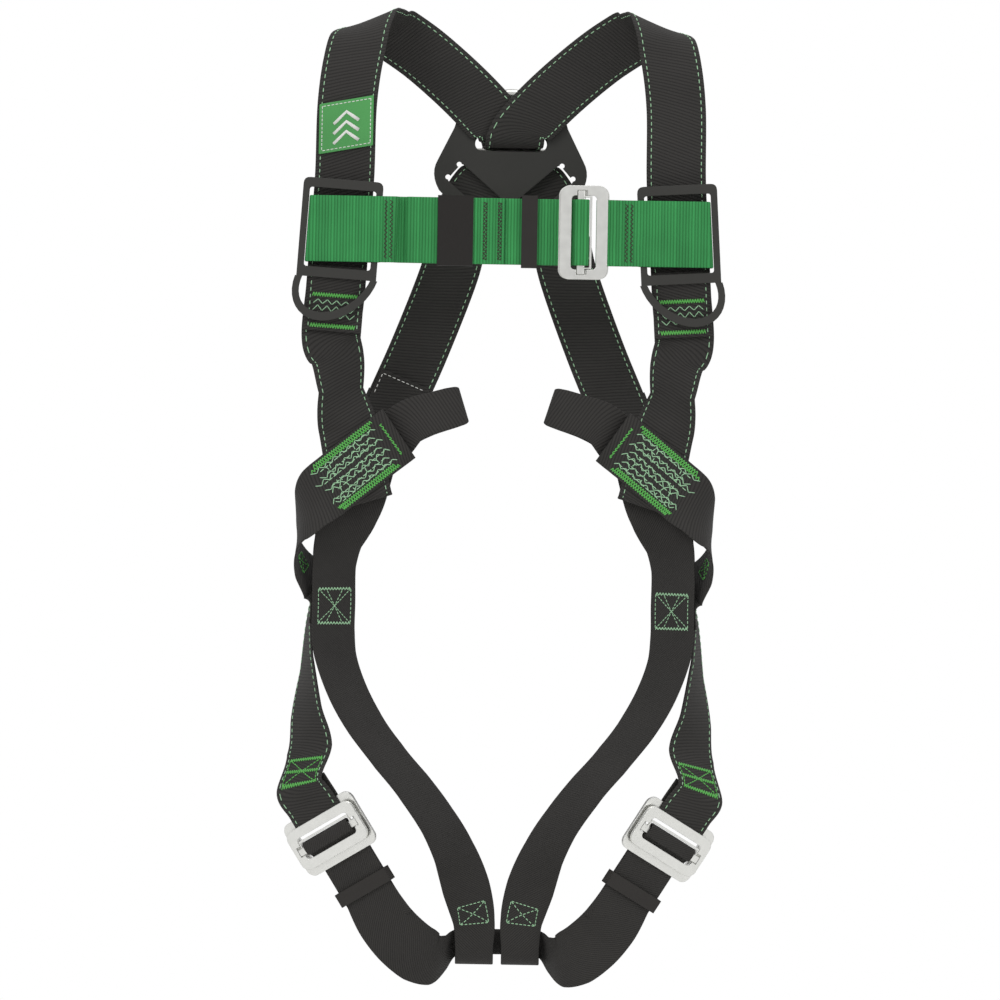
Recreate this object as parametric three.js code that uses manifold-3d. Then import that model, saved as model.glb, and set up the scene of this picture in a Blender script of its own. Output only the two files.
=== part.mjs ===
// Full-body fall-arrest harness, hanging from its dorsal D-ring.
// Millimetres, +Z up, +X to the wearer's left, the wearer faces -Y.
// Origin: the point inside the top of the dorsal ring where a hook bears.
import * as THREE from "three";
import { mergeVertices } from "three/addons/utils/BufferGeometryUtils.js";
import Module from "manifold-3d";

const wasm = await Module();
wasm.setup();

// Webbing
const WEB_WIDTH = 45; // shoulder, hip, thigh, riser and leg webbing
const CHEST_WEB_WIDTH = 50; // chest webbing
const LOOP_WEB_WIDTH = 31; // webbing of the ventral loops
const WEB_THICK = 1.6; // every webbing
const LAYER_GAP = 0.5; // between sewn or stacked layers
const CROSSING_GAP = 2.8; // between the shoulder straps where they cross at the back
const TOUCH_GAP = 0.35; // between webbing and the hardware it bears on
const GATHERED_WIDTH = 28; // thigh and leg webbing where they pass through each other

// Dorsal ring and plate
const RING_WIRE = 8; // diameter
const RING_BAR = 58; // straight bar between the legs
const RING_EYE = 38; // bar top to the inside of the bow
const PLATE_THICK = 3.5;
const PLATE_HALF_WIDTH = 59;
const PLATE_HEIGHT = 104;
const PLATE_TOP = -4;
const PLATE_SLOT_LENGTH = 44; // diagonal slots
const PLATE_SLOT_WIDTH = 17;
const PLATE_SLOT_ANGLE = 41; // degrees that a slot falls towards the middle
const PLATE_HOLE = 4; // round relief hole at each outer slot corner

// Places of the main runs
const SHOULDER_HALF = 125; // middle plane to the middle of a front shoulder strap
const FRONT_DEPTH = 92; // ring plane to the front shoulder straps
const SHOULDER_TOP = 56; // top of the shoulder bend
const CHEST_HEIGHT = -105; // middle of the chest strap
const HIP_HEIGHT = -285; // middle of the hip junction
const HIP_HALF = 114;
const CROTCH_HEIGHT = -645; // middle of the leg strap between the thigh loops
const THIGH_LOOP_HALF = 17.5; // middle plane to the middle of a thigh loop

// Side D-frames
const FRAME_BAR = 5; // side bars of the window
const FRAME_TOP_BAR = 7.2;
const FRAME_CROSSBAR = 7.6;
const FRAME_WINDOW_HEIGHT = 60;
const FRAME_THICK = 4;
const FRAME_EYE_DEPTH = 26.5;
const FRAME_EYE_SKEW = 10; // the eye leans outwards
const FRAME_RIM = 6.4;
const FRAME_TILT = 3.6; // degrees
const TIE_BAR = 3; // rear bar that the tie loop passes round
const TIE_LENGTH = 44; // crossbar to the end of the sewn tie loop

// Buckles: v runs along the bar, u along the strap, n to the front
const BUCKLE_THICK = 2.5;
const BUCKLE_CORNER = 7;
const SIDE_ROOM = 1; // webbing edge to window end, each side
const BAR_CORE = 6; // width of the sliding bar's core
const BAR_CORE_THICK = 2.4;
const BAR_TRAVEL = 1.2;
const BAR_NOTCH = 4; // depth of the notches that guide the bar's ends
const RAIL = 1.6; // guard rail of the sliding bar
const CHEST_BUCKLE = { maleU: 36, rim: 6.5, windowU: 19, femaleU: 38, femaleRim: 7, barU: -2 };
const LEG_BUCKLE = { maleU: 33, rim: 6.5, windowU: 18, femaleU: 45, femaleRim: 9, barU: -1.5 };
const CHEST_BUCKLE_X = 56;
const LEG_BUCKLE_HALF = 128;
const LEG_BUCKLE_HEIGHT = -563;
const LEG_BUCKLE_LEAN = 32; // degrees of the bar above horizontal, inner end up
const LEG_BUCKLE_TURN = 30; // degrees that the buckle faces outwards
const LEG_BUCKLE_DEPTH = 86;

// Keepers
const ELASTIC_THICK = 1.2;
const ELASTIC_WIDTH = 27;
const KEEPER_THICK = 2;
const CHEST_KEEPER_WIDTH = 12;
const LEG_KEEPER_WIDTH = 11;
const LEG_KEEPER_REACH = 48; // buckle middle to keeper middle

// Patch on the wearer's right shoulder strap and label pocket on a lower back strap
const PATCH_HEIGHT = 38;
const PATCH_WIDTH = 41;
const PATCH_THICK = 1.4;
const PATCH_SLOPE = 7.6; // its inner side sits this much higher than its outer side
const PATCH_Z = -26;
const POCKET_LENGTH = 34;
const POCKET_WIDTH = 40;

const BLACK_WEB = { color: 0x2e2d2c, roughness: 0.85, metalness: 0 };
const GREEN_WEB = { color: 0x2e8b45, roughness: 0.8, metalness: 0 };
const BLACK_PLASTIC = { color: 0x3a3936, roughness: 0.55, metalness: 0 };
const ELASTIC = { color: 0x1e1c1b, roughness: 0.9, metalness: 0 };
const GREEN_RUBBER = { color: 0x58a55c, roughness: 0.6, metalness: 0 };
const STEEL = { color: 0xd8d8d4, roughness: 0.35, metalness: 1 };

const harness = new THREE.Group();
const STEP = WEB_THICK + LAYER_GAP; // one layer to the next
const CROSS_STEP = WEB_THICK + CROSSING_GAP;
const BEARING = WEB_THICK / 2 + TOUCH_GAP; // hardware face to the middle of the webbing
const radians = THREE.MathUtils.degToRad;

function addMesh(name, geometry, finish) {
  const mesh = new THREE.Mesh(geometry, new THREE.MeshStandardMaterial(finish));
  mesh.name = name;
  harness.add(mesh);
  return mesh;
}

// ---- solids -------------------------------------------------------------

function solid(geometry) {
  const bare = geometry.clone();
  bare.deleteAttribute("normal");
  bare.deleteAttribute("uv");
  const merged = mergeVertices(bare, 1e-4);
  const vertProperties = merged.attributes.position.array;
  const triVerts = new Uint32Array(merged.index.array);
  return new wasm.Manifold(new wasm.Mesh({ numProp: 3, vertProperties, triVerts }));
}

function geometryOf(manifold) {
  const mesh = manifold.getMesh();
  const geometry = new THREE.BufferGeometry();
  geometry.setAttribute("position", new THREE.BufferAttribute(mesh.vertProperties, 3));
  geometry.setIndex(new THREE.BufferAttribute(mesh.triVerts, 1));
  return geometry;
}

function joined(parts) {
  return geometryOf(parts.map(solid).reduce((whole, part) => whole.add(part)));
}

// A flat plate: its outline in X and Z, its thickness along Y, its middle at y = 0.
function plateOf(shape, thickness, curveSegments = 6) {
  const geometry = new THREE.ExtrudeGeometry(shape, {
    depth: thickness,
    bevelEnabled: false,
    curveSegments,
  });
  geometry.translate(0, 0, -thickness / 2);
  geometry.rotateX(Math.PI / 2);
  return geometry;
}

function roundedRectangle(target, width, height, radius) {
  const x = width / 2;
  const y = height / 2;
  target.moveTo(x - radius, -y);
  target.absarc(x - radius, -y + radius, radius, -Math.PI / 2, 0, false);
  target.absarc(x - radius, y - radius, radius, 0, Math.PI / 2, false);
  target.absarc(-x + radius, y - radius, radius, Math.PI / 2, Math.PI, false);
  target.absarc(-x + radius, -y + radius, radius, Math.PI, 1.5 * Math.PI, false);
  return target;
}

// Points of an arc in a plane, angles in degrees.
function arc(middleA, middleB, radius, from, to, steps) {
  const points = [];
  for (let i = 0; i <= steps; i++) {
    const angle = radians(from + ((to - from) * i) / steps);
    points.push([middleA + radius * Math.cos(angle), middleB + radius * Math.sin(angle)]);
  }
  return points;
}

// ---- webbing --------------------------------------------------------------

// A control point of a webbing run: where its middle is, which way its width lies, and its width.
// shear says how far the width may lean along the run: 0 keeps it square, 1 keeps it as given.
function station(at, across, width = WEB_WIDTH, shear = 0) {
  const direction = new THREE.Vector3(...across).normalize();
  return { at: new THREE.Vector3(...at), across: direction, width, shear };
}

function mirrored(stations) {
  const flip = (v) => [-v.x, v.y, v.z];
  return stations.map((s) => station(flip(s.at), flip(s.across), s.width, s.shear));
}

// The wearer's right lies at -X, so side is -1 there and +1 on the wearer's left.
function onSide(side, stations) {
  return side > 0 ? stations : mirrored(stations);
}

// Sweeps a flat rectangle through the stations. Each run is a smooth curve through its stations,
// and its width direction turns evenly between them and stays square to the run where shear is 0.
function webbing(stations, stepsPerSpan = 3) {
  const curve = new THREE.CatmullRomCurve3(stations.map((s) => s.at), false, "centripetal");
  const spans = stations.length - 1;
  const rows = spans * stepsPerSpan;
  const corners = [];
  for (let row = 0; row <= rows; row++) {
    const t = row / rows;
    const span = Math.min(Math.floor(t * spans), spans - 1);
    const blend = t * spans - span;
    const from = stations[span];
    const to = stations[span + 1];
    const middle = curve.getPoint(t);
    const tangent = curve.getTangent(t);
    const across = from.across.clone().lerp(to.across, blend);
    const square = 1 - THREE.MathUtils.lerp(from.shear, to.shear, blend);
    across.addScaledVector(tangent, -square * across.dot(tangent)).normalize();
    const normal = new THREE.Vector3().crossVectors(tangent, across).normalize();
    const half = THREE.MathUtils.lerp(from.width, to.width, blend) / 2;
    for (const [a, n] of [[-1, -1], [1, -1], [1, 1], [-1, 1]]) {
      const corner = middle.clone().addScaledVector(across, a * half);
      corners.push(corner.addScaledVector(normal, (n * WEB_THICK) / 2));
    }
  }
  const faces = [0, 2, 1, 0, 3, 2];
  for (let row = 0; row < rows; row++) {
    for (let k = 0; k < 4; k++) {
      const a = row * 4 + k;
      const b = row * 4 + ((k + 1) % 4);
      // Both broad faces are split along the same diagonal, so a twist keeps the thickness.
      if (k === 2) faces.push(a, b, a + 4, b, b + 4, a + 4);
      else faces.push(a, b, b + 4, a, b + 4, a + 4);
    }
  }
  const last = rows * 4;
  faces.push(last, last + 1, last + 2, last, last + 2, last + 3);
  const geometry = new THREE.BufferGeometry();
  const positions = corners.flatMap((corner) => corner.toArray());
  geometry.setAttribute("position", new THREE.Float32BufferAttribute(positions, 3));
  geometry.setIndex(faces);
  return geometry;
}

// ---- dorsal ring and plate --------------------------------------------------

const ringBarZ = -RING_EYE - RING_WIRE / 2;
const plateY = -(RING_WIRE / 2 + TOUCH_GAP + PLATE_THICK / 2);
const innerWrap = RING_WIRE / 2 + BEARING; // bar axis to the first webbing layer
const slotZ = ringBarZ + innerWrap + CROSS_STEP / 2; // middle of the slot the straps pass through
const slotHeight = 2 * CROSS_STEP + 2.5;
// The shoulder strap of one layer where it lies behind the plate.
const behindPlateY = (layer) => plateY + PLATE_THICK / 2 + 2 * BEARING + layer * CROSS_STEP;
const layerOf = (side) => (side < 0 ? 1 : 0);

function dorsalRing() {
  const radius = RING_WIRE / 2;
  const half = RING_BAR / 2 + radius;
  const legTop = ringBarZ + RING_EYE * 0.25;
  const points = [];
  const steps = 18;
  for (let i = 0; i <= steps; i++) {
    const angle = (Math.PI * i) / steps;
    points.push(new THREE.Vector3(half * Math.cos(angle), 0, legTop + (radius - legTop) * Math.sin(angle)));
  }
  const foot = (side) => new THREE.Vector3(side * half, 0, ringBarZ);
  const loop = new THREE.CatmullRomCurve3([foot(1), ...points, foot(-1)], false, "centripetal");
  const section = new THREE.Shape().absarc(0, 0, radius, 0, 2 * Math.PI, false);
  const bowSolid = new THREE.ExtrudeGeometry(section, { steps: 36, extrudePath: loop, curveSegments: 5 });
  const bar = new THREE.CylinderGeometry(radius, radius, 2 * half + radius, 12);
  bar.rotateZ(Math.PI / 2);
  bar.translate(0, 0, ringBarZ);
  addMesh("dorsal_d_ring", joined([bowSolid, bar]), STEEL);
}

function dorsalPlate() {
  const top = PLATE_TOP;
  const bottom = PLATE_TOP - PLATE_HEIGHT;
  const widest = top - 0.52 * PLATE_HEIGHT;
  const half = PLATE_HALF_WIDTH;
  const shoulderZ = top - 0.18 * PLATE_HEIGHT;
  const cornerZ = bottom + 0.08 * PLATE_HEIGHT;
  const outline = new THREE.Shape();
  outline.moveTo(0.5 * half, top);
  outline.quadraticCurveTo(0.66 * half, top, 0.74 * half, shoulderZ);
  outline.lineTo(0.95 * half, widest + 0.1 * PLATE_HEIGHT);
  outline.quadraticCurveTo(1.05 * half, widest, 0.93 * half, widest - 0.12 * PLATE_HEIGHT);
  outline.lineTo(0.45 * half, cornerZ);
  outline.quadraticCurveTo(0.36 * half, bottom, 0.2 * half, bottom);
  const rightHalf = outline.getPoints(6).reverse();
  for (const point of rightHalf) outline.lineTo(-point.x, point.y);
  outline.closePath();

  let plate = solid(plateOf(outline, PLATE_THICK));
  const deep = 3 * PLATE_THICK;
  const slot = new THREE.Shape();
  roundedRectangle(slot, WEB_WIDTH + 10, slotHeight, slotHeight / 2 - 0.1);
  const topSlot = plateOf(slot, deep);
  topSlot.translate(0, 0, slotZ);
  plate = plate.subtract(solid(topSlot));

  const angle = radians(PLATE_SLOT_ANGLE);
  for (const side of [-1, 1]) {
    const diagonal = new THREE.Shape();
    roundedRectangle(diagonal, PLATE_SLOT_LENGTH, PLATE_SLOT_WIDTH, 2);
    const cutter = plateOf(diagonal, deep);
    cutter.rotateY(-side * angle);
    cutter.translate(side * 0.45 * PLATE_HALF_WIDTH, 0, slotZ - 36);
    plate = plate.subtract(solid(cutter));
    for (const edge of [-1, 1]) {
      const hole = new THREE.CylinderGeometry(PLATE_HOLE / 2, PLATE_HOLE / 2, deep, 12);
      const x = side * (PLATE_SLOT_LENGTH / 2 + PLATE_HOLE * 0.2);
      hole.translate(x, 0, edge * (PLATE_SLOT_WIDTH / 2 - PLATE_HOLE / 2));
      hole.rotateY(-side * angle);
      hole.translate(side * 0.45 * PLATE_HALF_WIDTH, 0, slotZ - 36);
      plate = plate.subtract(solid(hole));
    }
  }
  const mesh = addMesh("dorsal_plate", geometryOf(plate), BLACK_PLASTIC);
  mesh.position.y = plateY;
}

// ---- shoulder straps ----------------------------------------------------------

// One strap: rolled end at the hip, up the front, over the shoulder, across the back, through
// the plate and round the ring bar, and down to the opposite hip. Its layer is 0 if it lies
// against the ring bar and 1 if it lies outside the other strap.
function shoulderStrap(side) {
  const layer = layerOf(side);
  const frontY = -FRONT_DEPTH;
  const rollRadius = 4.5;
  const rollX = HIP_HALF - 6;
  const rollZ = HIP_HEIGHT - 22;
  const rollAcross = [0.956, 0, -0.29];
  const reach = BEARING + 2.2 + (1 - layer) * CROSS_STEP; // bend into the plate's slot
  const bendY = plateY - 0.4;
  const bendZ = slotZ + CROSS_STEP / 2 + BEARING + 2.2;
  const beforePlate = bendY - reach;
  const wrap = innerWrap + layer * CROSS_STEP;
  const behindPlate = behindPlateY(layer);
  const turned = [0.74, -0.67, 0];
  const fold = [0.92, 0, -0.39];
  const level = [1, 0, 0];
  const lower = [0.92, 0, -0.38];
  const fallingAt = (angle) => [Math.cos(radians(angle)), 0, -Math.sin(radians(angle))];
  // In the slot and round the bar the strap slants sideways while its width stays level.
  const sheared = (x, y, z) => station([x, y, z], level, WEB_WIDTH, 1);
  const intoSlot = arc(bendY, bendZ, reach, 180, 270, 3).map(([y, z], i) => sheared(3.4 - 0.4 * i, y, z));
  const overBar = arc(0, ringBarZ, wrap, 90, -30, 4).map(([y, z], i) => sheared(1.2 - 0.9 * i, y, z));
  const alongFrame = (z) => station([frameX(z), frontY, z], level);
  const route = [
    station([rollX + 9, frontY + 2 * rollRadius, rollZ + 29], rollAcross),
    station([rollX + 1, frontY + 2 * rollRadius, rollZ + 3], rollAcross),
    station([rollX - 0.4, frontY + 1.7 * rollRadius, rollZ - 2.6], rollAcross),
    station([rollX - 1.3, frontY + rollRadius, rollZ - rollRadius], rollAcross),
    station([rollX - 0.4, frontY + 0.3 * rollRadius, rollZ - 2.6], rollAcross),
    station([rollX + 1, frontY, rollZ + 3], rollAcross),
    station([HIP_HALF + 0.5, frontY, HIP_HEIGHT + 3], [0.95, 0, -0.3]),
    station([SHOULDER_HALF - 5.5, frontY, HIP_HEIGHT + 29], [0.97, 0, -0.22]),
    station([SHOULDER_HALF - 2, frontY, HIP_HEIGHT + 44], [0.88, -0.42, -0.15]),
    station([SHOULDER_HALF + 0.5, frontY, HIP_HEIGHT + 58], turned),
    station([SHOULDER_HALF + 3.5, frontY, CHEST_HEIGHT - 98], [0.88, -0.45, 0]),
    alongFrame(CHEST_HEIGHT - 84),
    alongFrame(CHEST_HEIGHT - 45),
    alongFrame(CHEST_HEIGHT),
    alongFrame(CHEST_HEIGHT + 40),
    station([SHOULDER_HALF - 0.5, frontY + 1, SHOULDER_TOP - 65], [0.995, 0, -0.05]),
    station([SHOULDER_HALF - 4, frontY + 3, SHOULDER_TOP - 35], [0.99, 0, -0.12]),
    station([SHOULDER_HALF - 9, frontY + 11, SHOULDER_TOP - 13], [0.96, 0, -0.27]),
    station([SHOULDER_HALF - 16, frontY + 30, SHOULDER_TOP - 1], fold),
    station([SHOULDER_HALF - 21, frontY + 50, SHOULDER_TOP - 0.5], fold),
    station([SHOULDER_HALF - 28, frontY + 67, SHOULDER_TOP - 4], [0.8, 0.3, -0.5]),
    station([SHOULDER_HALF - 39, beforePlate - 5, SHOULDER_TOP - 10.5], fallingAt(50)),
    station([SHOULDER_HALF - 56, beforePlate - 1, SHOULDER_TOP - 22], fallingAt(49)),
    station([45, beforePlate, 14], fallingAt(47)),
    station([26, beforePlate, -4], fallingAt(44)),
    station([11, beforePlate, bendZ + 9], fallingAt(26), WEB_WIDTH, 0.7),
    station([5.5, beforePlate, bendZ + 3], fallingAt(10), WEB_WIDTH, 1),
    ...intoSlot,
    ...overBar,
    sheared(-4, behindPlate + 0.8, ringBarZ - 8),
    sheared(-6.5, behindPlate, ringBarZ - 10.5),
    station([-14.5, behindPlate, ringBarZ - 18], fallingAt(18), WEB_WIDTH, 0.8),
    station([-24, behindPlate, ringBarZ - 28], fallingAt(36), WEB_WIDTH, 0.4),
    station([-31, behindPlate, ringBarZ - 39], fallingAt(31)),
    station([-36, behindPlate, ringBarZ - 53], fallingAt(24)),
    station([-40, behindPlate, ringBarZ - 69], fallingAt(18)),
    station([-45, behindPlate, CHEST_HEIGHT - 27], fallingAt(20)),
    station([-67.5, behindPlate - 4, CHEST_HEIGHT - 88], lower),
    station([-84, behindPlate - 10, HIP_HEIGHT + 53], lower),
    station([-94, behindPlate - 16, HIP_HEIGHT + 29], lower),
  ];
  return webbing(onSide(side, route), 3);
}

// A flat patch with upright sides, its top and bottom edges rising towards the middle.
function shoulderPatch() {
  const x = PATCH_WIDTH / 2;
  const z = PATCH_HEIGHT / 2;
  const rise = PATCH_SLOPE / 2;
  const outline = new THREE.Shape();
  outline.moveTo(-x, -z - rise);
  outline.lineTo(x, -z + rise);
  outline.lineTo(x, z + rise);
  outline.lineTo(-x, z - rise);
  outline.closePath();
  const patch = plateOf(outline, PATCH_THICK);
  return patch.translate(-SHOULDER_HALF, -FRONT_DEPTH - BEARING - PATCH_THICK / 2, PATCH_Z);
}

// A textile pocket on the strap that comes from the left shoulder, above the right hip.
function labelPocket() {
  const y = behindPlateY(0) - STEP - 0.6;
  const across = [0.92, 0, -0.38];
  const middle = new THREE.Vector3(-84, y - 10, HIP_HEIGHT + 53);
  const along = new THREE.Vector3(-0.38, -0.17, -0.91).multiplyScalar(POCKET_LENGTH / 2);
  const ends = [middle.clone().sub(along), middle, middle.clone().add(along)];
  return webbing(ends.map((p) => station(p.toArray(), across, POCKET_WIDTH)), 3);
}

// ---- side D-frames --------------------------------------------------------------

const tieBackY = -FRONT_DEPTH - STEP;
const tieBarY = tieBackY - BEARING - TIE_BAR / 2;
const tieFrontY = tieBarY - TIE_BAR / 2 - BEARING;
const frameY = tieFrontY - BEARING - FRAME_THICK / 2;
const loopRoom = BEARING + 0.4; // shoulder strap edge to the middle of the chest loop beside it
const frameWindow = WEB_WIDTH + 2 * (loopRoom + BEARING);
const frameWidth = frameWindow + 2 * FRAME_BAR;
const crossbarTop = CHEST_HEIGHT - FRAME_WINDOW_HEIGHT / 2;
const crossbarX = SHOULDER_HALF + 5;
const frameX = (z) => crossbarX - (z - crossbarTop) * Math.tan(radians(FRAME_TILT));
const frameUp = [-Math.sin(radians(FRAME_TILT)), 0, Math.cos(radians(FRAME_TILT))];
const frameAcross = [frameUp[2], 0, -frameUp[0]];

// Half an ellipse below the crossbar whose lowest point leans outwards.
function leaningBow(halfWidth, depth, lean, z) {
  const points = [];
  const steps = 20;
  for (let i = 0; i <= steps; i++) {
    const angle = (Math.PI * i) / steps;
    const sine = Math.sin(angle);
    points.push(new THREE.Vector2(halfWidth * Math.cos(angle) + lean * sine, z - depth * sine));
  }
  return points;
}

function dFrame(side, name) {
  const bottom = -FRAME_CROSSBAR;
  const top = FRAME_WINDOW_HEIGHT + FRAME_TOP_BAR;
  const half = frameWidth / 2;
  const lean = side * FRAME_EYE_SKEW;
  const outline = new THREE.Shape();
  outline.moveTo(half, bottom);
  outline.lineTo(half, top - 5);
  outline.quadraticCurveTo(half, top, half - 5, top);
  outline.lineTo(-half + 5, top);
  outline.quadraticCurveTo(-half, top, -half, top - 5);
  outline.lineTo(-half, bottom);
  const outer = leaningBow(half + 1, FRAME_EYE_DEPTH + FRAME_RIM, lean, bottom);
  for (const point of outer.reverse()) outline.lineTo(point.x, point.y);
  outline.closePath();
  const window = new THREE.Path();
  roundedRectangle(window, frameWindow, FRAME_WINDOW_HEIGHT, 2);
  const lifted = window.getPoints(3).map((p) => new THREE.Vector2(p.x, p.y + FRAME_WINDOW_HEIGHT / 2));
  outline.holes.push(new THREE.Path(lifted));
  const eye = leaningBow(frameWindow / 2 + 0.5, FRAME_EYE_DEPTH, lean, bottom);
  outline.holes.push(new THREE.Path(eye));
  const front = plateOf(outline, FRAME_THICK, 4);

  // The rear bar stands behind the crossbar on two cheeks, and the tie loop passes round it.
  const barBack = tieBarY + TIE_BAR / 2 - frameY;
  const cheekDepth = barBack + 1;
  const cheeks = [-1, 1].map((end) => {
    const cheek = new THREE.BoxGeometry(FRAME_BAR - 1, cheekDepth, FRAME_CROSSBAR - 1.6);
    return cheek.translate(end * (half - FRAME_BAR / 2), barBack - cheekDepth / 2, -FRAME_CROSSBAR / 2);
  });
  const rear = new THREE.BoxGeometry(frameWidth - 2, TIE_BAR, FRAME_CROSSBAR - 1.6);
  rear.translate(0, tieBarY - frameY, -FRAME_CROSSBAR / 2);
  const mesh = addMesh(name, joined([front, rear, ...cheeks]), BLACK_PLASTIC);
  mesh.rotation.y = side * -radians(FRAME_TILT);
  mesh.position.set(side * crossbarX, frameY, crossbarTop);
}

// Both ends sewn to the shoulder strap, the middle over the frame's rear bar.
function tieLoop(side) {
  const over = (FRAME_CROSSBAR - 1.6) / 2 + BEARING + 0.3;
  const narrow = WEB_WIDTH - 1;
  const [upX, , upZ] = frameUp;
  const barZ = crossbarTop - FRAME_CROSSBAR / 2;
  const at = (y, up) => station([frameX(barZ) + upX * up, y, barZ + upZ * up], frameAcross, narrow);
  const frontEnd = tieBackY - STEP;
  return webbing(onSide(side, [
    at(frontEnd, -TIE_LENGTH),
    at(frontEnd, -18),
    at(tieFrontY, -5),
    at(tieFrontY, 2),
    at(tieFrontY + 0.9, over - 0.4),
    at(tieBarY, over + 0.6),
    at(tieBackY - 0.9, over - 0.4),
    at(tieBackY, 2),
    at(tieBackY, -14),
    at(tieBackY, -TIE_LENGTH),
  ]), 3);
}

// ---- chest strap ---------------------------------------------------------------------

const femaleY = frameY - 2.2;
const frontLayerY = femaleY + BUCKLE_THICK / 2 + BEARING;
const backLayerY = frontLayerY + STEP;
const maleForward = BUCKLE_THICK + WEB_THICK + 2 * TOUCH_GAP; // plate in front of the receiver
const stubLayerY = frontLayerY - STEP;
const overFrameY = frameY - FRAME_THICK / 2 - BEARING;
const behindShoulderY = -FRONT_DEPTH + STEP;
const chestAcross = [0, 0, 1];

function chestStation(x, y) {
  return station([x, y, CHEST_HEIGHT], chestAcross, CHEST_WEB_WIDTH);
}

// A station of the loop round the shoulder strap, leaning with the frame.
function loopStation(side, [x, y]) {
  return station([side * x, y, CHEST_HEIGHT], [side * frameUp[0], 0, frameUp[2]], CHEST_WEB_WIDTH);
}

// From the sewn seam beside a frame, behind the shoulder strap, round its outer edge and
// forward again over the frame's inner side bar. x runs outwards.
function loopRoundShoulder() {
  const middle = frameX(CHEST_HEIGHT);
  const outer = middle + WEB_WIDTH / 2;
  const inner = middle - frameWindow / 2 - FRAME_BAR;
  const seam = inner - 5;
  const beside = outer + loopRoom;
  return [
    [seam, overFrameY + STEP],
    [inner - 3, overFrameY + STEP],
    [inner - 1.8, frameY + FRAME_THICK / 2],
    [inner + 1, behindShoulderY - 3.5],
    [inner + 7, behindShoulderY],
    [outer - 3, behindShoulderY],
    [outer + 0.2, behindShoulderY - 0.35],
    [beside, behindShoulderY - 1.8],
    [beside, behindShoulderY - 6],
    [beside, frameY],
    [beside, overFrameY + 2],
    [beside - 0.9, overFrameY + 0.4],
    [outer - 4, overFrameY],
    [inner + 14, overFrameY],
    [inner, overFrameY],
    [seam - 6, overFrameY],
  ];
}

// Round the sliding bar, in buckle axes (u along the strap, n forward): in on the layer that
// lies against the frame, over the bar's front, and out again one layer behind.
function wrapRoundBar(buckle) {
  const first = -(BUCKLE_THICK / 2 + BEARING);
  const second = first - STEP;
  const radius = BAR_CORE_THICK / 2 + BEARING;
  const nearMiddle = buckle.barU - BAR_CORE / 2 + BAR_CORE_THICK / 2;
  const farMiddle = buckle.barU + BAR_CORE / 2 - BAR_CORE_THICK / 2 + BAR_TRAVEL;
  const edge = -(buckle.femaleU / 2 - buckle.femaleRim);
  const outside = edge - buckle.femaleRim - 4;
  return [
    [outside, first],
    [edge - 1.5, first],
    [edge + 0.8, first + 0.5],
    [edge + 3, 0.6],
    ...arc(nearMiddle, maleForward, radius, 195, 90, 3),
    ...arc(farMiddle, maleForward, radius, 90, -90, 4),
    [nearMiddle + 1, maleForward - radius - 1.2],
    [edge + 4.6, second + 1.8],
    [edge + 0.5, second],
    [outside, second],
  ];
}

// The fixed end round the far bar of the receiving frame: out in front of it, back behind it.
function wrapRoundFrame(buckle) {
  const inner = buckle.femaleU / 2 - buckle.femaleRim;
  const radius = BUCKLE_THICK / 2 + BEARING;
  return [
    [inner + buckle.femaleRim + 4, radius],
    [inner + BUCKLE_THICK / 2 + 2, radius],
    ...arc(inner + 0.4, 0, radius, 90, 270, 4),
    [inner + BUCKLE_THICK / 2 + 2, -radius],
    [inner + buckle.femaleRim + 4, -radius],
  ];
}

function chestStrapLeft() {
  const loop = loopRoundShoulder().map((point) => loopStation(-1, point));
  const bar = wrapRoundBar(CHEST_BUCKLE).reverse();
  const wrap = bar.map(([u, n]) => chestStation(CHEST_BUCKLE_X + u, femaleY - n));
  const foldX = -76;
  return webbing([
    ...loop,
    chestStation(-84, backLayerY - 1.5),
    chestStation(-68, backLayerY),
    chestStation(0, backLayerY),
    ...wrap,
    chestStation(0, frontLayerY),
    chestStation(foldX + 6, frontLayerY),
    chestStation(foldX, frontLayerY - 0.3),
    chestStation(foldX - 1.7, frontLayerY - STEP / 2 - 0.5),
    chestStation(foldX, stubLayerY - 0.9),
    chestStation(foldX + 7, stubLayerY),
    chestStation(-4, stubLayerY),
  ], 3);
}

function chestStrapRight() {
  const wrap = wrapRoundFrame(CHEST_BUCKLE).reverse();
  const loop = loopRoundShoulder().reverse();
  const back = wrap.map(([u, n]) => chestStation(CHEST_BUCKLE_X + u, femaleY - n));
  return webbing([
    chestStation(CHEST_BUCKLE_X + 34, overFrameY + STEP + 0.2),
    ...back,
    ...loop.map((point) => loopStation(1, point)),
  ], 3);
}

// ---- buckles ----------------------------------------------------------------------------

// A rectangular frame, u along X and v along Z, with one window and, for the plate that
// carries the sliding bar, a guide notch at each end of the window.
function buckleFrame(lengthU, lengthV, windowU, windowV, notchU) {
  const outline = new THREE.Shape();
  roundedRectangle(outline, lengthU, lengthV, BUCKLE_CORNER);
  const frame = solid(plateOf(outline, BUCKLE_THICK, 5));
  const window = new THREE.Shape();
  roundedRectangle(window, windowU, windowV, 3);
  let cut = frame.subtract(solid(plateOf(window, 3 * BUCKLE_THICK, 4)));
  if (notchU) {
    const notch = new THREE.BoxGeometry(notchU.width, 3 * BUCKLE_THICK, windowV + 2 * BAR_NOTCH);
    notch.translate(notchU.middle, 0, 0);
    cut = cut.subtract(solid(notch));
  }
  return geometryOf(cut);
}

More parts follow.
